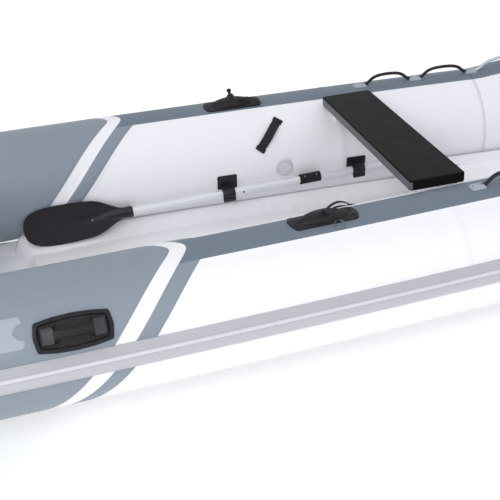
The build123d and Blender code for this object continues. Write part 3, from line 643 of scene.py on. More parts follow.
class DINGHY_OT_tubes(bpy.types.Operator):
    """Builds the side tubes with their stripes, the bow tube and the stern cones"""
    bl_idname = "dinghy.tubes"
    bl_label = "Tubes"

    def execute(self, context):
        lap = context.scene.dinghy_looks.lap
        self.side_tubes(lap)
        self.bow_tube(lap)
        self.cones(lap)
        dress("cone_caps", "black_rubber")
        dress("baffles", "white_fabric")
        return {"FINISHED"}

    def side_tubes(self, lap):
        """Both side tubes, with raised grey panels, the stripes between them and a seam tape."""
        # each column's left edge, right edge, share of the way between them, shift and zone
        edge = PANEL_STEP
        columns = [("start", "aft", k / 26, 0, "aft") for k in range(26)]
        columns += [("start", "aft", 1, -edge, "aft"), ("aft", "fore", 0, edge, "stripe")]
        columns += [("aft", "fore", k / 3, 0, "stripe") for k in (1, 2)]
        columns += [("aft", "fore", 1, -edge, "stripe"), ("fore", "band", 0, edge, "band")]
        columns += [("fore", "band", k / 3, 0, "band") for k in (1, 2)]
        columns += [("fore", "band", 1, -edge, "band"), ("band", "end", 0, edge, "panel")]
        columns += [("band", "seam", k / 30, 0, "panel") for k in range(1, 30)]
        columns += [("band", "seam", 1, -edge, "panel"), ("seam", "tape", 0, edge, "tape"),
                    ("seam", "tape", 1, -edge, "tape"), ("tape", "end", 0, edge, "panel")]
        columns += [("tape", "end", k / 26, 0, "panel") for k in range(1, 27)]
        edges = {"start": lambda t: X_CONE + BUTT, "aft": lambda t: chevron(-0.618, 5.5, t),
                 "fore": lambda t: chevron(-0.5545, 9.0, t), "band": lambda t: chevron(-0.493, 0.5, t),
                 "seam": lambda t: 0.262, "tape": lambda t: 0.287, "end": lambda t: X_RISE - BUTT}
        rings = []
        for left, right, share, shift, zone in columns:
            ring = []
            for turn in ROWS:
                a, b = edges[left](turn), edges[right](turn)
                grey = zone in ("aft", "band") or (zone in ("panel", "tape") and in_strip(turn))
                lift = (lap if grey else 0.0) + (TAPE_LIFT if zone == "tape" else 0.0)
                ring.append(side_spot(a + (b - a) * share + shift).at(turn, TUBE_R + lift))
            rings.append(ring)

        def pick(row, column):
            zone = columns[row][4]
            if zone == "stripe":
                return 1
            if strip_cell(column) and zone != "aft":
                return 2
            return 0 if zone in ("aft", "band") else 1

        valve = on_side(VALVE_X, VALVE_TURN)(0, 0, 0)
        for side_name, side in SIDES.items():
            piece = loft(f"tube_{side_name}_skin", [[mirrored(p, side) for p in ring] for ring in rings],
                         caps=(False, False), pick=pick, finishes=("grey_fabric", "white_fabric", "band"),
                         smooth=60)
            self.cut_hole(piece, mirrored(valve, side))
            thicken(piece, SKIN)
            settle(piece, "hull", "tube_fabric", f"tube_{side_name}")

    def cut_hole(self, piece, centre):
        """Open the skin round the valve."""
        select_only(piece)
        bpy.ops.object.mode_set(mode="EDIT")
        bpy.ops.mesh.select_mode(type="FACE")
        bpy.ops.mesh.select_all(action="DESELECT")
        bpy.ops.object.mode_set(mode="OBJECT")
        for face in piece.data.polygons:
            face.select = (face.center - centre).length < VALVE_HOLE_R
        bpy.ops.object.mode_set(mode="EDIT")
        bpy.ops.mesh.delete(type="FACE")
        bpy.ops.object.mode_set(mode="OBJECT")

    def bow_tube(self, lap):
        """The rises and the bow, in four gores that each lap over the next."""
        gores = [BOW_START, GORE_TURN, math.pi / 2, math.pi - GORE_TURN, math.pi - BOW_START]
        stations = [(rise_spot(a), 0.0) for a in steps(0, RISE, 8)]
        for first, last in zip(gores, gores[1:]):
            stations += [(bow_spot(first + 0.0005), lap)]
            stations += [(bow_spot(first + 0.05), lap), (bow_spot(first + 0.052), 0.0)]
            stations += [(bow_spot(t), 0.0) for t in steps(first + 0.055, last - 0.0005, 12)]
        stations += [(starboard(rise_spot(a)), 0.0) for a in reversed(steps(0, RISE, 8))]
        rings = [[spot.at(turn, TUBE_R + extra + (lap if in_strip(turn) else 0)) for turn in ROWS]
                 for spot, extra in stations]
        bow = loft("bow_tube_skin", rings, caps=(False, False), finishes=("band", "white_fabric"),
                   pick=lambda row, column: 0 if strip_cell(column) else 1, thick=SKIN, smooth=60)
        settle(bow, "hull", "tube_fabric", "bow_tube")

    def cones(self, lap):
        """The stern cones, each swelling a little between its cuff and its cap."""
        tail = side_spot(X_CONE)
        length = X_CONE - (CAD_BOX[0].x + CAP_LENGTH)
        marks = [(TUBE_R, -CUFF)]
        for share in steps(0, 1, 10):
            radius = TUBE_R + (CONE_TIP_R - TUBE_R) * share + 0.002 * math.sin(math.pi * share)
            marks.append((radius, length * share))
        for side_name, side in SIDES.items():
            rings = [[mirrored(tail.at(t, radius + lap) - tail.forward * aft, side)
                      for t in steps(-180, 175, 71)] for radius, aft in marks]
            cone = loft(f"cone_{side_name}_skin", rings, caps=(False, False), finishes=("grey_fabric",),
                        thick=SKIN, smooth=50)
            settle(cone, "hull", "grey_fabric", f"cone_{side_name}")


# ------------------------------------------------------------------ rubbing strake
RIBS = 8                   # down each strake's belly


class DINGHY_OT_strakes(bpy.types.Operator):
    """Builds the rubbing strakes with their ribs and the white insert"""
    bl_idname = "dinghy.strakes"
    bl_label = "Strakes"

    def execute(self, context):
        # the section runs up the shoulder, past the insert's channel, down the ribbed belly and back
        # along the tube
        seat = TUBE_R + 0.0006
        top, foot = math.radians(15.5), math.radians(-6.5)
        start = (seat * math.cos(top), seat * math.sin(top))
        end = (seat * math.cos(foot), seat * math.sin(foot))
        outline = [start, (start[0] + 0.003, start[1] + 0.0006)]
        shoulder, ledge = (TUBE_R + 0.0235, 0.0425), (TUBE_R + 0.0255, 0.0285)
        outline += [(outline[1][0] + (shoulder[0] - outline[1][0]) * k / 4,
                     outline[1][1] + (shoulder[1] - outline[1][1]) * k / 4) for k in (1, 2, 3)]
        outline += [shoulder, (TUBE_R + 0.0225, 0.0418), (TUBE_R + 0.0235, 0.0292), ledge]
        for k in range(1, 33):
            turn = k / 33
            belly = 0.0125 * math.sin(math.pi * min(1, turn * 1.02)) ** 0.9
            out = ledge[0] + (end[0] + 0.003 - ledge[0]) * turn + belly
            up = ledge[1] + (end[1] - ledge[1]) * turn
            rib = 0.0
            if 0.1 < turn < 0.9:
                rib = 0.0007 * (0.5 - 0.5 * math.cos(2 * math.pi * turn * RIBS))
            outline.append((min(out, TUBE_R + 0.0295) + rib * 0.7, up))
        outline.append(end)
        outline += [(seat * math.cos(a), seat * math.sin(a)) for a in steps(foot + 0.08, top - 0.08, 3)]
        strip = [(TUBE_R + 0.0228, 0.0412), (TUBE_R + 0.0285, 0.0408), (TUBE_R + 0.0298, 0.0398),
                 (TUBE_R + 0.0305, 0.0352), (TUBE_R + 0.0302, 0.0308), (TUBE_R + 0.0292, 0.0298),
                 (TUBE_R + 0.0238, 0.0296)]
        side_stations = [side_spot(x) for x in steps(X_CONE + BUTT, X_RISE - BUTT, 60)]
        bow_stations = [rise_spot(a) for a in steps(0, RISE, 6)]
        bow_stations += [bow_spot(t) for t in steps(BOW_START, math.pi - BOW_START, 56)][1:-1]
        bow_stations += [starboard(rise_spot(a)) for a in reversed(steps(0, RISE, 6))]
        inserts = []
        runs = (("strake_port", side_stations, 1), ("strake_starboard", side_stations, -1),
                ("strake_bow", bow_stations, 1))
        for name, stations, side in runs:
            rings = [[mirrored(spot.off(*p), side) for p in outline] for spot in stations]
            body = loft(f"{name}_rubber", rings, finishes=("strake_rubber",), smooth=38)
            settle(body, "hull", "strake_rubber", name)
            rings = [[mirrored(spot.off(*p), side) for p in strip] for spot in stations]
            inserts.append(loft(f"{name}_insert", rings, finishes=("white_rubber",), smooth=50))
        settle(join("strake_insert_strips", inserts), "hull", "white_rubber", "strake_inserts")
        return {"FINISHED"}


# ------------------------------------------------------------------ hull, liner, locker and transom
LIP_X = -1.004             # where the sole's aft lip lies, at the middle of the boat
LIP_RAKE = 0.52            # how far the lip runs aft for each metre outboard, near the banks


class DINGHY_OT_hull(bpy.types.Operator):
    """Builds the deck liner, the locker, its lid and the transom, and finishes the hull"""
    bl_idname = "dinghy.hull"
    bl_label = "Hull and deck"

    def execute(self, context):
        self.liner()
        self.locker()
        self.transom()
        for node, finish in (("hull_shell", "gelcoat"), ("drain_bush", "black_plastic"),
                             ("drain_plug", "black_plastic"), ("bow_eye", "stainless")):
            dress(node, finish)
        return {"FINISHED"}

    def liner(self):
        """Sole, side banks up to the tubes, the rounded lip and the aft well, in one moulding."""
        inside = 0.207         # from a tube's axis in to where the sole meets its bank
        x_nose = X_LOCKER - 0.01
        creases = ((-1.25, 0.340), (-1.003, 0.331), (-0.93, 0.320), (-0.857, 0.330), (-0.71, 0.337),
                   (-0.50, 0.345), (-0.30, axis_y(-0.30) - inside))

        def crease(x):
            """How far from the centreline the sole meets its bank."""
            for (a, ya), (b, yb) in zip(creases, creases[1:]):
                if x <= b:
                    return ya + (yb - ya) * max(0.0, x - a) / (b - a)
            edge = axis_y(x) - inside
            return min(edge, 0.215 + (0.88 - x) * 0.55) if x > X_LOCKER else edge

        def lip(y):
            """Where the sole drops to the well, at that distance from the centreline."""
            return LIP_X - LIP_RAKE * max(0.0, y - 0.329)

        rings = []
        for x in steps(0.88, -0.97, 52) + steps(-0.976, -1.120, 40) + steps(-1.14, -1.2485, 5):
            edge = crease(x)
            rim = axis_y(x) - 0.1555 if x <= x_nose else edge + 0.002
            climb = 0.0385 if x <= x_nose else -0.003
            half = [(y, SOLE_Z) for y in steps(0, 0.27, 12) + steps(0.275, edge - 0.02, 22)]
            half += [(edge - 0.011, SOLE_Z + 0.0004), (edge - 0.004, SOLE_Z + 0.002),
                     (edge, SOLE_Z + 0.0055)]
            half += [(edge + (rim - edge) * k / 8, SOLE_Z + 0.0055 + climb * (k / 8) ** 1.35)
                     for k in range(1, 9)]
            ring = []
            for y, z in half:
                bottom = WELL_Z + 0.30 * max(0.0, y - 0.27)
                past = max(0.0, min(1.0, (lip(y) + 0.004 - x) / 0.036))
                drop = 1 - math.cos(math.pi / 2 * past)
                ring.append((y, z - (z - min(z, bottom)) * drop))
            rings.append([Vector((x, -y, z)) for y, z in reversed(ring[1:])]
                         + [Vector((x, y, z)) for y, z in ring])
        piece = loft("deck_liner", rings, closed=False, caps=(False, False), finishes=("gelcoat",),
                     smooth=45)
        facing_up = sum((1 if face.normal.z > 0 else -1) * face.area for face in piece.data.polygons)
        if facing_up < 0:
            in_edit_mode(piece, bpy.ops.mesh.flip_normals)
        thicken(piece, 0.0035)
        settle(piece, "hull", "gelcoat", "deck_floor", "side_flange_port", "side_flange_starboard")

    def locker(self):
        """Bow locker: a moulded top with a rolled edge, a raised hatch rim, and its aft bulkhead."""
        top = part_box("bow_locker")[1].z
        x_nose, x_hatch = 1.0, 0.8
        wide = axis_y(X_LOCKER) - TUBE_R + 0.003
        nose = axis_y(x_nose) - TUBE_R + 0.001
        flank = [(x_nose + (X_LOCKER - x_nose) * s, nose + (wide - nose) * s)
                 for s in steps(0.1, 0.98, 8)]
        outline = [(x_nose, -nose)]
        outline += [(x_nose + 0.278 * math.sin(a), -nose * math.cos(a))
                    for a in steps(0.12, math.pi - 0.12, 22)]
        outline += [(x_nose, nose)] + flank
        outline += [(X_LOCKER, wide * 0.985)] + [(X_LOCKER, wide * s) for s in steps(0.9, -0.9, 12)]
        outline += [(X_LOCKER, -wide * 0.985)] + [(x, -y) for x, y in reversed(flank)]

        def over_hatch(u, v, height):
            return Vector((x_hatch + u, v, height))

        deck = slab("locker_deck", outline, [(0.0, top - 0.040), (0.0, top - 0.008),
                                             (0.0025, top - 0.0025), (0.009, top), (0.013, top)],
                    lambda u, v, height: Vector((u, v, height)), "gelcoat", smooth=40)
        bulkhead = slab("locker_bulkhead", rounded(2 * wide - 0.012, 0.132, 0.02),
                        [(0, 0), (0, 0.004), (0.002, 0.006)],
                        lambda u, v, height: Vector((X_LOCKER + 0.006 - height, u, 0.2025 + v)),
                        "gelcoat", smooth=40)
        rim = slab("locker_rim", rounded(0.352, 0.322, 0.034), [(0, top - 0.004), (0, top), (0.004, top)],
                   over_hatch, "gelcoat", smooth=40)
        settle(join("bow_locker_moulding", [deck, bulkhead, rim]), "hull", "gelcoat", "bow_locker")
        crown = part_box("locker_lid")[1].z
        lid = slab("lid_panel", rounded(0.370, 0.340, 0.040),
                   [(0.004, top + 0.0005), (0.0, top + 0.002), (0.0, crown - 0.005),
                    (0.0015, crown - 0.0015), (0.005, crown), (0.022, crown), (0.026, crown - 0.002),
                    (0.034, crown - 0.002), (0.036, crown), (0.039, crown)],
                   over_hatch, "gelcoat", smooth=40)
        settle(lid, "locker_lid", "gelcoat", "locker_lid")

    def transom(self):
        """Outboard board with rounded edges, cut to fit between the tubes, and its clamp pads."""
        low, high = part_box("transom")
        mid = axis_y((low.x + high.x) / 2)
        bite = TUBE_R + 0.0015
        arc = [(mid - bite * math.cos(a), AXIS_Z + bite * math.sin(a))
               for a in steps(-math.acos((mid - 0.4315) / bite), math.acos((mid - 0.384) / bite), 20)]
        right = [(0.0, 0.0045), (0.088, 0.0045), (0.23, 0.0445), (0.372, 0.0845), (0.431, 0.152)] + arc
        right += [(0.378, 0.439), (0.290, 0.440), (0.205, 0.440), (0.190, 0.436), (0.172, 0.414),
                  (0.158, 0.4055), (0.08, 0.405), (0.0, 0.405)]
        outline = right + [(-y, z) for y, z in reversed(right[1:-1])]
        board = slab("transom_board", outline,
                     [(0.006, low.x), (0.0015, low.x + 0.0015), (0.0, low.x + 0.005),
                      (0.0, high.x - 0.005), (0.0015, high.x - 0.0015), (0.006, high.x)],
                     lambda u, v, height: Vector((height, u, v)), "gelcoat", smooth=35)
        settle(board, "hull", "gelcoat_wood", "transom")
        pads = []
        for face_x, way in ((high.x, 1), (low.x, -1)):
            levels = [(depth, face_x + way * off) for depth, off in
                      ((0, 0.0003), (0, 0.006), (0.0015, 0.0078), (0.010, 0.008), (0.012, 0.0066),
                       (0.015, 0.0066), (0.0165, 0.008))]
            pads.append(slab("pad", rounded(0.240, 0.150, 0.018), levels,
                             lambda u, v, height: Vector((height, u, 0.322 + v)), "black_rubber",
                             smooth=35))
        settle(join("transom_clamp_pads", pads), "hull", "black_rubber", "transom_pads")


# ------------------------------------------------------------------ thwart
class DINGHY_OT_thwart(bpy.types.Operator):
    """Builds the thwart and the blocks that it sits on"""
    bl_idname = "dinghy.thwart"
    bl_label = "Thwart"

    def execute(self, context):
        low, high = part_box("seat_board")
        mid, wide, long = (low + high) / 2, high.x - low.x, high.y - low.y
        outline = rounded(wide, long, 0.010, bends=10)
        levels = [(0.004, low.z), (0.001, low.z + 0.001), (0.0, low.z + 0.004), (0.0, high.z - 0.005),
                  (0.0007, high.z - 0.0025), (0.0025, high.z - 0.0007), (0.0050, high.z), (0.0080, high.z)]

        def pick(row, column):
            """The aft face, between the two full-width levels, takes the paler grey: a painted highlight.
            """
            return 1 if row == 2 and outline[column][0] < 0.01 - wide / 2 else 0

        board = slab("thwart_board", outline, levels, lambda u, v, height: Vector((mid.x + u, v, height)),
                     "seat", extra=("seat_aft_painted_highlight",), pick=pick, smooth=35)
        settle(board, "seat", "seat_finish", "seat_board")
        dress("seat_cleats", "white_fabric")
        return {"FINISHED"}


# ------------------------------------------------------------------ oars
NECK = Vector((-0.614, 0.326, 0.247))      # where the port oar's blade meets its shaft
FAR = Vector((0.436, 0.273, 0.293))        # a point further forward on the same shaft
OAR_DIR = (FAR - NECK).normalized()
OAR_FACE = (Vector((0, -1, 0)) - OAR_DIR * Vector((0, -1, 0)).dot(OAR_DIR)).normalized()
OAR_SIDE = OAR_DIR.cross(OAR_FACE) * -1
BLADE_LENGTH = 0.42
# the blade's half width at distances from its neck
BLADE = ((0, 0.0205), (0.02, 0.0215), (0.045, 0.027), (0.08, 0.045), (0.11, 0.064), (0.14, 0.076),
         (0.18, 0.0815), (0.24, 0.085), (0.29, 0.0858), (0.33, 0.0835), (0.365, 0.077), (0.39, 0.066),
         (0.405, 0.053), (0.414, 0.038), (0.419, 0.018), (BLADE_LENGTH, 0.004))
PLATES_X = (-0.211, 0.331)
HOOKS_X = (-0.222, 0.318)
SCREWS = ((-0.03, -0.021), (0.03, -0.021), (-0.03, 0.021), (0.03, 0.021))


def on_oar(along, side, face):
    """A point beside the port oar: along it from the blade's neck, to its side and off its face."""
    return NECK + OAR_DIR * along + OAR_SIDE * side + OAR_FACE * face


def half_width(s):
    """Half width of the blade at s metres from its neck."""
    for (a, wa), (b, wb) in zip(BLADE, BLADE[1:]):
        if s <= b:
            return wa + (wb - wa) * ((s - a) / (b - a))
    return BLADE[-1][1]


def oar_tube(name, stations, side, finish, smooth):
    """A round part of an oar, from (distance from the neck, radius) stations."""
    rings = [[mirrored(on_oar(s, u, v), side) for u, v in circle(32, radius)] for s, radius in stations]
    return loft(name, rings, finishes=(finish,), smooth=smooth)


class DINGHY_OT_oars(bpy.types.Operator):
    """Builds the two oars and the clips that hold them"""
    bl_idname = "dinghy.oars"
    bl_label = "Oars"

    def execute(self, context):
        for side_name, side in SIDES.items():
            self.blade(side_name, side)
            self.shafts(side_name, side)
            self.collar(side_name, side)
            self.grip(side_name, side)
            dress(f"oar_button_{side_name}", "stainless")
        self.clips()
        return {"FINISHED"}

    def blade(self, side_name, side):
        """Blade with its rounded spine, the socket that takes the shaft, and one rivet."""
        rings = []
        for s in [BLADE_LENGTH * (1 - (1 - k / 44) ** 1.6) for k in range(44)] + [0.4185, BLADE_LENGTH]:
            half = half_width(s)
            spine = max(0.0, 0.021 * (1 - s / 0.33))
            ring = []
            for c, n in circle(48):
                across = half * math.copysign(abs(c) ** 0.8, c)
                thin = 0.0032 * min(1.0, half / 0.02) * abs(n) ** 0.45
                hump = max(0.0, 1 - (across / max(spine * 1.15, 0.004)) ** 2) ** 0.5
                face = math.copysign(max(thin, spine * hump * 0.96), n) if abs(n) > 1e-6 else 0
                ring.append(mirrored(on_oar(-s, across, face), side))
            rings.append(ring)
        blade = loft("blade", rings, finishes=("black_plastic", "stainless"), smooth=32)
        socket = oar_tube("socket", [(-0.012, 0.0195), (-0.004, 0.0212), (0.004, 0.0212),
                                     (0.006, 0.0202), (0.006, 0.0165)], side, "black_plastic", 35)
        rivet = turned("rivet", [(0.0045, 0.009), (0.0045, 0.0125), (0.0035, 0.0142), (0.0015, 0.0148)],
                       20, lambda u, v, height: mirrored(on_oar(-0.155 + u, v, height), side),
                       "stainless", 50)
        settle(join(f"oar_blade_{side_name}_shell", [blade, socket, rivet]), f"oar_{side_name}",
               "black_plastic", f"oar_blade_{side_name}")

    def shafts(self, side_name, side):
        """The lower shaft, with a turned-in mouth, and the upper shaft that slides into it."""
        lower = oar_tube(f"oar_shaft_{side_name}_outer",
                         [(-0.056, 0.0144), (-0.056, SHAFT_R), (0.5805, SHAFT_R), (0.582, 0.0155),
                          (0.582, 0.0145)], side, "anodised", 35)
        settle(lower, f"oar_{side_name}", "oar_alloy", f"oar_shaft_lower_{side_name}")
        upper = oar_tube(f"oar_shaft_{side_name}_inner", [(0.50, 0.0143), (1.16, 0.0143)], side,
                         "anodised", 35)
        settle(upper, f"oar_{side_name}", "oar_alloy", f"oar_shaft_upper_{side_name}")

    def collar(self, side_name, side):
        """Ribbed rubber collar, held by two studs on its upper side."""
        marks = [(0.687, 0.0150), (0.687, 0.0195), (0.688, 0.0205), (0.692, 0.0208)]
        for k in range(9):
            s = 0.696 + k * 0.0082
            marks += [(s, 0.0208), (s + 0.0012, 0.0196), (s + 0.0036, 0.0196), (s + 0.0048, 0.0208)]
        marks += [(0.770, 0.0208), (0.772, 0.0205), (0.773, 0.0195), (0.773, 0.0150)]
        pieces = [oar_tube("collar", marks, side, "black_rubber", 30)]
        lean_side, lean_face = math.sin(math.radians(50)), math.cos(math.radians(50))
        for at in (0.707, 0.755):
            def place(u, v, height, at=at):
                return mirrored(on_oar(at + u, height * lean_side + v * lean_face,
                                       height * lean_face - v * lean_side), side)
            pieces.append(turned("stud", [(0.0028, 0.018), (0.0028, 0.0217), (0.0016, 0.0226)], 16,
                                 place, "stainless", 50))
        settle(join(f"oar_collar_{side_name}_ribbed", pieces), f"oar_{side_name}", "black_rubber",
               f"oar_collar_{side_name}")

    def grip(self, side_name, side):
        """Ribbed rubber hand grip with a rounded end."""
        marks = [(1.100, 0.0150), (1.100, 0.0165), (1.103, 0.0182), (1.108, 0.0186)]
        for k in range(10):
            s = 1.116 + k * 0.0095
            marks += [(s, 0.0186), (s + 0.003, 0.0176), (s + 0.006, 0.0186)]
        marks += [(1.215, 0.0186), (1.221, 0.0172), (1.2245, 0.0140), (1.225, 0.0080)]
        settle(oar_tube(f"oar_grip_{side_name}_ribbed", marks, side, "black_rubber", 30),
               f"oar_{side_name}", "black_rubber", f"oar_grip_{side_name}")

    def clips(self):
        """Screwed plates on the tubes' inner sides, and the sprung hooks that hold the shafts."""
        outer, inner = SHAFT_R + 0.0055, SHAFT_R + 0.001
        arc = steps(math.radians(-62), math.radians(118), 20)
        section = [(inner * math.cos(a), inner * math.sin(a)) for a in arc]
        section += [(outer * math.cos(a), outer * math.sin(a)) for a in reversed(arc)]
        section += [(0.0128, -0.0225), (0.0138, -0.0262), (0.0165, -0.0290), (0.0152, -0.0312),
                    (0.0112, -0.0292), (0.0092, -0.0240)]
        levels = [(0, 0.0006), (0, 0.003), (0.001, 0.0041), (0.006, 0.0042), (0.007, 0.0034),
                  (0.0085, 0.0034), (0.0095, 0.0042)]
        plates, hooks = [], []
        for side in SIDES.values():
            for clip_x in PLATES_X:
                place = on_side(clip_x, -98.0, side)
                plates.append(slab("plate", rounded(0.080, 0.062, 0.006), levels, place, "black_plastic",
                                   smooth=35))
                for across, up in SCREWS:
                    plates.append(turned("screw", [(0.004, 0.0038), (0.004, 0.0048), (0.0028, 0.0060)], 16,
                                         lambda u, v, height: place(across + u, up + v, height),
                                         "black_rubber", 50))
            for clip_x in HOOKS_X:
                at = (clip_x - NECK.x) / OAR_DIR.x
                rings = [[mirrored(on_oar(at + s, n * k, c * k), side) for c, n in section]
                         for s, k in ((-0.025, 0.97), (-0.0235, 1.0), (0.0235, 1.0), (0.025, 0.97))]
                hooks.append(loft("hook", rings, finishes=("black_plastic",), smooth=35))
        settle(join("oar_clip_plates", plates), "hull", "black_plastic", "oar_clips")
        settle(join("oar_clip_hooks", hooks), "hull", "black_plastic", "clip_hooks")


# ------------------------------------------------------------------ oarlocks
PAD_X, PAD_TURN = -0.130, -2.0
PAD_OUTLINE = softened(((116, -20), (116, 12), (104, 44), (-104, 44), (-116, 12), (-116, -20), (-106, -46),
                        (106, -46)), 0.010)
PIN_LEAN = math.radians(52)
# the dome's half length, half width and height
DOME = ((0.089, 0.0365, 0.0050), (0.0875, 0.0355, 0.0074), (0.079, 0.0335, 0.0125),
        (0.066, 0.0305, 0.0175), (0.051, 0.0265, 0.0215), (0.036, 0.0215, 0.0242),
        (0.021, 0.0150, 0.0260), (0.008, 0.0065, 0.0266))


class DINGHY_OT_oarlocks(bpy.types.Operator):
    """Builds the oarlock pads, pins, split rings and straps"""
    bl_idname = "dinghy.oarlocks"
    bl_label = "Oarlocks"

    def execute(self, context):
        straps = []
        for side_name, side in SIDES.items():
            place = on_side(PAD_X, PAD_TURN, side)
            pieces = [slab("pad", PAD_OUTLINE, [(0, 0.0006), (0, 0.004), (0.0008, 0.0054),
                                                (0.0026, 0.0060), (0.0050, 0.0060)], place,
                           "black_rubber", smooth=32)]
            rings = [[place(a * math.cos(t), b * math.sin(t), height)
                      for t in [2 * math.pi * k / 64 for k in range(64)]] for a, b, height in DOME]
            pieces.append(loft("dome", rings, finishes=("black_rubber",), smooth=40))
            pieces.append(self.boss(side))
            pieces.append(loft("lug", [[place(0.033 + u, 0.042 + v, height)
                                        for u, v in rounded(0.009, 0.008, 0.003, 4)]
                                       for height in (0.004, 0.0105)],
                               finishes=("black_rubber",), smooth=40))
            for at in (-0.098, 0.098):
                rings = [[place(at + u, v, height)
                          for u, v in rounded(0.006 * k, 0.052 * k, 0.0028 * k, 6)]
                         for height, k in ((0.005, 1.0), (0.0072, 1.0), (0.0080, 0.8))]
                pieces.append(loft("rib", rings, finishes=("black_rubber",), smooth=40))
            settle(join(f"oarlock_pad_{side_name}_moulding", pieces), "hull", "black_rubber",
                   f"oarlock_pad_{side_name}")
            dress(f"oarlock_pin_{side_name}", "black_plastic")
            dress(f"pin_ring_{side_name}", "stainless")
            rings = []
            for s in steps(-1, 1, 24):
                u, v, height = 0.058 + 0.056 * s, -0.026 - 0.016 * s, 0.0095 + 0.0235 * (1 - s * s)
                rings.append([place(u, v + b, height + a) for b, a in rounded(0.012, 0.0042, 0.0018, 4)])
            straps.append(loft("strap", rings, finishes=("black_rubber",), smooth=40))
        settle(join("oarlock_rubber_straps", straps), "hull", "black_rubber", "oarlock_straps")
        return {"FINISHED"}

    def boss(self, side):
        """The stout collar round the pin, leaning outboard as the pin does."""
        spot = side_spot(PAD_X)
        turn = math.radians(PAD_TURN)
        lift = spot.outward * math.sin(turn) + spot.up * math.cos(turn)
        across = spot.outward * math.cos(turn) - spot.up * math.sin(turn)
        pin = lift * math.cos(PIN_LEAN) + across * math.sin(PIN_LEAN)
        girth = pin.cross(spot.forward)
        foot = spot.origin + lift * (TUBE_R + 0.014)

        def place(u, v, height):
            return mirrored(foot + pin * height + spot.forward * u + girth * v, side)

        return turned("boss", [(0.0190, -0.002), (0.0172, 0.006), (0.0156, 0.013), (0.0150, 0.0215),
                               (0.0142, 0.0234), (0.0128, 0.0240), (0.0070, 0.0240)], 40, place,
                      "black_rubber", 35)


# ------------------------------------------------------------------ carrying handles
BOW_HANDLE_TURN = 38       # how far down the bow's front its handle sits, in degrees


def handle_base(length, width):
    """Outline of a handle's tray: all four sides bowed out a little, with tight corners."""
    half = [(-0.47, -0.40), (-0.24, -0.475), (0.0, -0.5), (0.24, -0.475), (0.47, -0.40), (0.5, 0.0)]
    whole = half + [(-u, -v) for u, v in half]
    return softened([(u * length * 1000, v * width * 1000) for u, v in whole], 0.008)


def handle_parts(place, length, width):
    """The tray with its recess, and the grip with its two end blocks."""
    levels = [(0.0, 0.0006), (0.0, 0.0055), (0.0016, 0.0082), (0.0045, 0.0090), (0.0110, 0.0088),
              (0.0135, 0.0066), (0.0150, 0.0034), (0.0170, 0.0028)]
    tray = slab("tray", handle_base(length, width), levels, place, "black_rubber", smooth=38)
    # share of the half length, height of the middle, half width and half thickness
    marks = [(-1.0, 0.004, 0.0225, 0.002), (-0.985, 0.0075, 0.0235, 0.006),
             (-0.93, 0.0105, 0.0235, 0.0085), (-0.66, 0.0120, 0.0235, 0.0095),
             (-0.61, 0.0150, 0.0225, 0.0085), (-0.57, 0.0190, 0.0135, 0.0070),
             (-0.50, 0.0215, 0.0112, 0.0062), (-0.3, 0.0235, 0.0108, 0.0065),
             (0.0, 0.0240, 0.0108, 0.0068)]
    marks += [(-s, height, half, thick) for s, height, half, thick in reversed(marks[:-1])]
    reach = length / 2 - 0.020
    rings = [[place(s * reach, half * math.copysign(abs(c) ** 0.5, c),
                    height + thick * math.copysign(abs(n) ** 0.6, n)) for c, n in circle(28)]
             for s, height, half, thick in marks]
    last = len(marks) - 6
    grip = loft("grip", rings, finishes=("black_rubber", "grip_pad"), smooth=38,
                pick=lambda row, column: 1 if row < 4 or row > last else 0)
    lugs = []
    for across in (-0.052, 0.052):
        for up in (-0.027, 0.027):
            lugs.append(turned("lug", [(0.0055, 0.0030), (0.0050, 0.0085), (0.0030, 0.0098)], 14,
                               lambda u, v, height: place(across + u, up + v, height),
                               "black_rubber", 45))
    return [tray] + lugs, grip


class DINGHY_OT_handles(bpy.types.Operator):
    """Builds the carrying handles on the tubes and at the bow"""
    bl_idname = "dinghy.handles"
    bl_label = "Handles"

    def execute(self, context):
        for side_name, side in SIDES.items():
            trays, grip = handle_parts(on_side(-0.971, 57.0, side), 0.232, 0.108)
            settle(join(f"handle_tray_{side_name}_moulding", trays), "hull", "black_rubber",
                   f"handle_tray_{side_name}")
            grip.name = f"handle_grip_{side_name}_moulding"
            settle(grip, "hull", "black_rubber", f"handle_grip_{side_name}")

        def on_bow(u, v, height):
            spot = bow_spot(math.pi / 2 - u / (BOW_R + TUBE_R * math.sin(math.radians(BOW_HANDLE_TURN))))
            return spot.at(BOW_HANDLE_TURN + math.degrees(v / TUBE_R), TUBE_R + height)

        trays, grip = handle_parts(on_bow, 0.236, 0.092)
        settle(join("bow_handle_tray_moulding", trays), "hull", "black_rubber", "bow_handle_tray")
        grip.name = "bow_handle_grip_moulding"
        settle(grip, "hull", "black_rubber", "bow_handle_grip")
        return {"FINISHED"}


# ------------------------------------------------------------------ straps, valves and patches
LINE_PATCHES = (0.420, 0.661, 0.912)


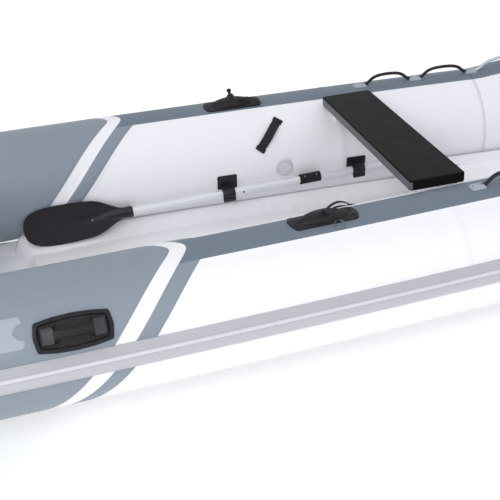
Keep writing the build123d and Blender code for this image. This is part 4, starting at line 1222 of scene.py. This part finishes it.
class DINGHY_OT_fittings(bpy.types.Operator):
    """Builds the grab straps and the bonded patches, and finishes the valves"""
    bl_idname = "dinghy.fittings"
    bl_label = "Straps, valves and patches"

    def execute(self, context):
        straps, patches = [], []
        for side in SIDES.values():
            straps += self.grab_strap(on_side(-0.019, -53.0, side))
            patches.append(slab("label", rounded(0.140, 0.095, 0.014),
                                [(0, 0.0004), (0, 0.0014), (0.001, 0.0018), (0.010, 0.0018)],
                                on_side(-1.180, 50.0, side), "patch", smooth=35))
            for x in LINE_PATCHES:
                patches.append(slab("line_patch", rounded(0.054, 0.040, 0.010),
                                    [(0, 0.0006), (0, 0.0022), (0.0035, 0.0066), (0.0085, 0.0100)],
                                    on_side(x, 0.0, side), "patch", smooth=35))
        settle(join("webbing_grab_straps", straps), "hull", "webbing", "grab_straps")
        settle(join("bonded_fabric_patches", patches), "hull", "grey_patch", "bonded_patches")
        dress("valve_bodies", "valve_plastic")
        for side_name in SIDES:
            dress(f"valve_cap_{side_name}", "valve_plastic")
            dress(f"valve_poppet_{side_name}", "valve_plastic")
        return {"FINISHED"}

    def grab_strap(self, place):
        """A webbing strap that bows up between its ends, with a sewn block at each end."""
        slope = math.atan(1.18)
        run, climb = math.cos(slope), math.sin(slope)

        def on_strap(along, across, height):
            return place(along * run - across * climb, along * climb + across * run, height)

        rings = []
        for s in steps(-1, 1, 36):
            bow = 0.0135 * max(0.0, 1 - (abs(s) / 0.74) ** 2.2) if abs(s) < 0.74 else 0.0
            rings.append([on_strap(0.079 * s, b, 0.0028 + bow + a)
                          for b, a in rounded(0.034, 0.0030, 0.0012, 4)])
        made = [loft("strap", rings, finishes=("webbing",), smooth=40)]
        for end in (-0.069, 0.069):
            made.append(slab("stitch", rounded(0.018, 0.040, 0.002, 4),
                             [(0, 0.0006), (0, 0.0052), (0.001, 0.0058)],
                             lambda u, v, height: on_strap(end + u, v, height), "webbing", smooth=40))
        return made


# ------------------------------------------------------------------ lifelines
class DINGHY_OT_lifelines(bpy.types.Operator):
    """Lays the grab lines over the tops of the tubes"""
    bl_idname = "dinghy.lifelines"
    bl_label = "Lifelines"

    def execute(self, context):
        width = context.scene.dinghy_looks.rope_width
        held, rise = 0.0035, 0.040     # the rope's height over the tube at a patch and between two

        def over_side(x, lift):
            return Vector((x, axis_y(x), AXIS_Z + TUBE_R + lift))

        def over_bow(turn, lift):
            return bow_spot(turn).at(0, TUBE_R + lift)

        dark = [over_side(0.400, held)]
        for first, last in zip(LINE_PATCHES, LINE_PATCHES[1:]):
            dark += [over_side(first + 0.012, held), over_side(first + 0.030, held + 0.001),
                     over_side(first + 0.062, rise * 0.86), over_side((first + last) / 2, rise),
                     over_side(last - 0.062, rise * 0.86), over_side(last - 0.030, held + 0.001),
                     over_side(last - 0.012, held)]
        dark.append(over_side(0.925, held))
        # The bow loops take the pale grey finish, a painted highlight on the rope.
        pale = [over_side(0.920, held), over_side(0.945, held + 0.001)]
        pale += [over_bow(math.radians(turn), lift) for turn, lift in (
            (4, rise * 0.8), (18, rise), (32, rise * 0.8), (43, held + 0.002), (47, held), (53, held))]
        for side_name, side in SIDES.items():
            ropes = []
            for route, finish in ((dark, "rope"), (pale, "rope_painted_highlight")):
                curve = bpy.data.curves.new(f"{finish}_{side_name}", "CURVE")
                curve.dimensions = "3D"
                curve.bevel_depth = width / 2
                curve.bevel_resolution = 5
                curve.use_fill_caps = True
                curve.resolution_u = 10
                spline = curve.splines.new("NURBS")
                spline.points.add(len(route) - 1)
                for point, place in zip(spline.points, route):
                    point.co = (*mirrored(place, side), 1)
                spline.order_u = 3
                spline.use_endpoint_u = True
                rope = bpy.data.objects.new(f"{finish}_{side_name}", curve)
                context.scene.collection.objects.link(rope)
                curve.materials.append(finish_of(finish))
                select_only(rope)
                bpy.ops.object.convert(target="MESH")
                rope = context.active_object
                close_up(rope)
                bpy.ops.object.shade_smooth_by_angle(angle=math.radians(50))
                ropes.append(rope)
            settle(join(f"lifeline_{side_name}_rope", ropes), "hull", "rope", f"lifeline_{side_name}")
        return {"FINISHED"}


# ------------------------------------------------------------------ panel and registration
BUILDERS = (DINGHY_OT_stage, DINGHY_OT_tubes, DINGHY_OT_strakes, DINGHY_OT_hull, DINGHY_OT_thwart,
            DINGHY_OT_oars, DINGHY_OT_oarlocks, DINGHY_OT_handles, DINGHY_OT_fittings, DINGHY_OT_lifelines)


class DINGHY_PT_panel(bpy.types.Panel):
    bl_label = "Dinghy"
    bl_idname = "DINGHY_PT_panel"
    bl_space_type = "VIEW_3D"
    bl_region_type = "UI"
    bl_category = "Dinghy"

    def draw(self, context):
        looks = context.scene.dinghy_looks
        for name in DinghyLooks.__annotations__:
            self.layout.prop(looks, name)
        for builder in BUILDERS:
            self.layout.operator(builder.bl_idname)


CLASSES = (DinghyLooks, *BUILDERS, DINGHY_PT_panel)


def register():
    for item in CLASSES:
        bpy.utils.register_class(item)
    bpy.types.Scene.dinghy_looks = PointerProperty(type=DinghyLooks)


def unregister():
    del bpy.types.Scene.dinghy_looks
    for item in reversed(CLASSES):
        bpy.utils.unregister_class(item)


def main():
    register()
    for builder in BUILDERS:
        group, name = builder.bl_idname.split(".")
        if getattr(getattr(bpy.ops, group), name)() != {"FINISHED"}:
            raise RuntimeError(f"{builder.bl_idname} did not finish")


if __name__ == "__main__":
    main()
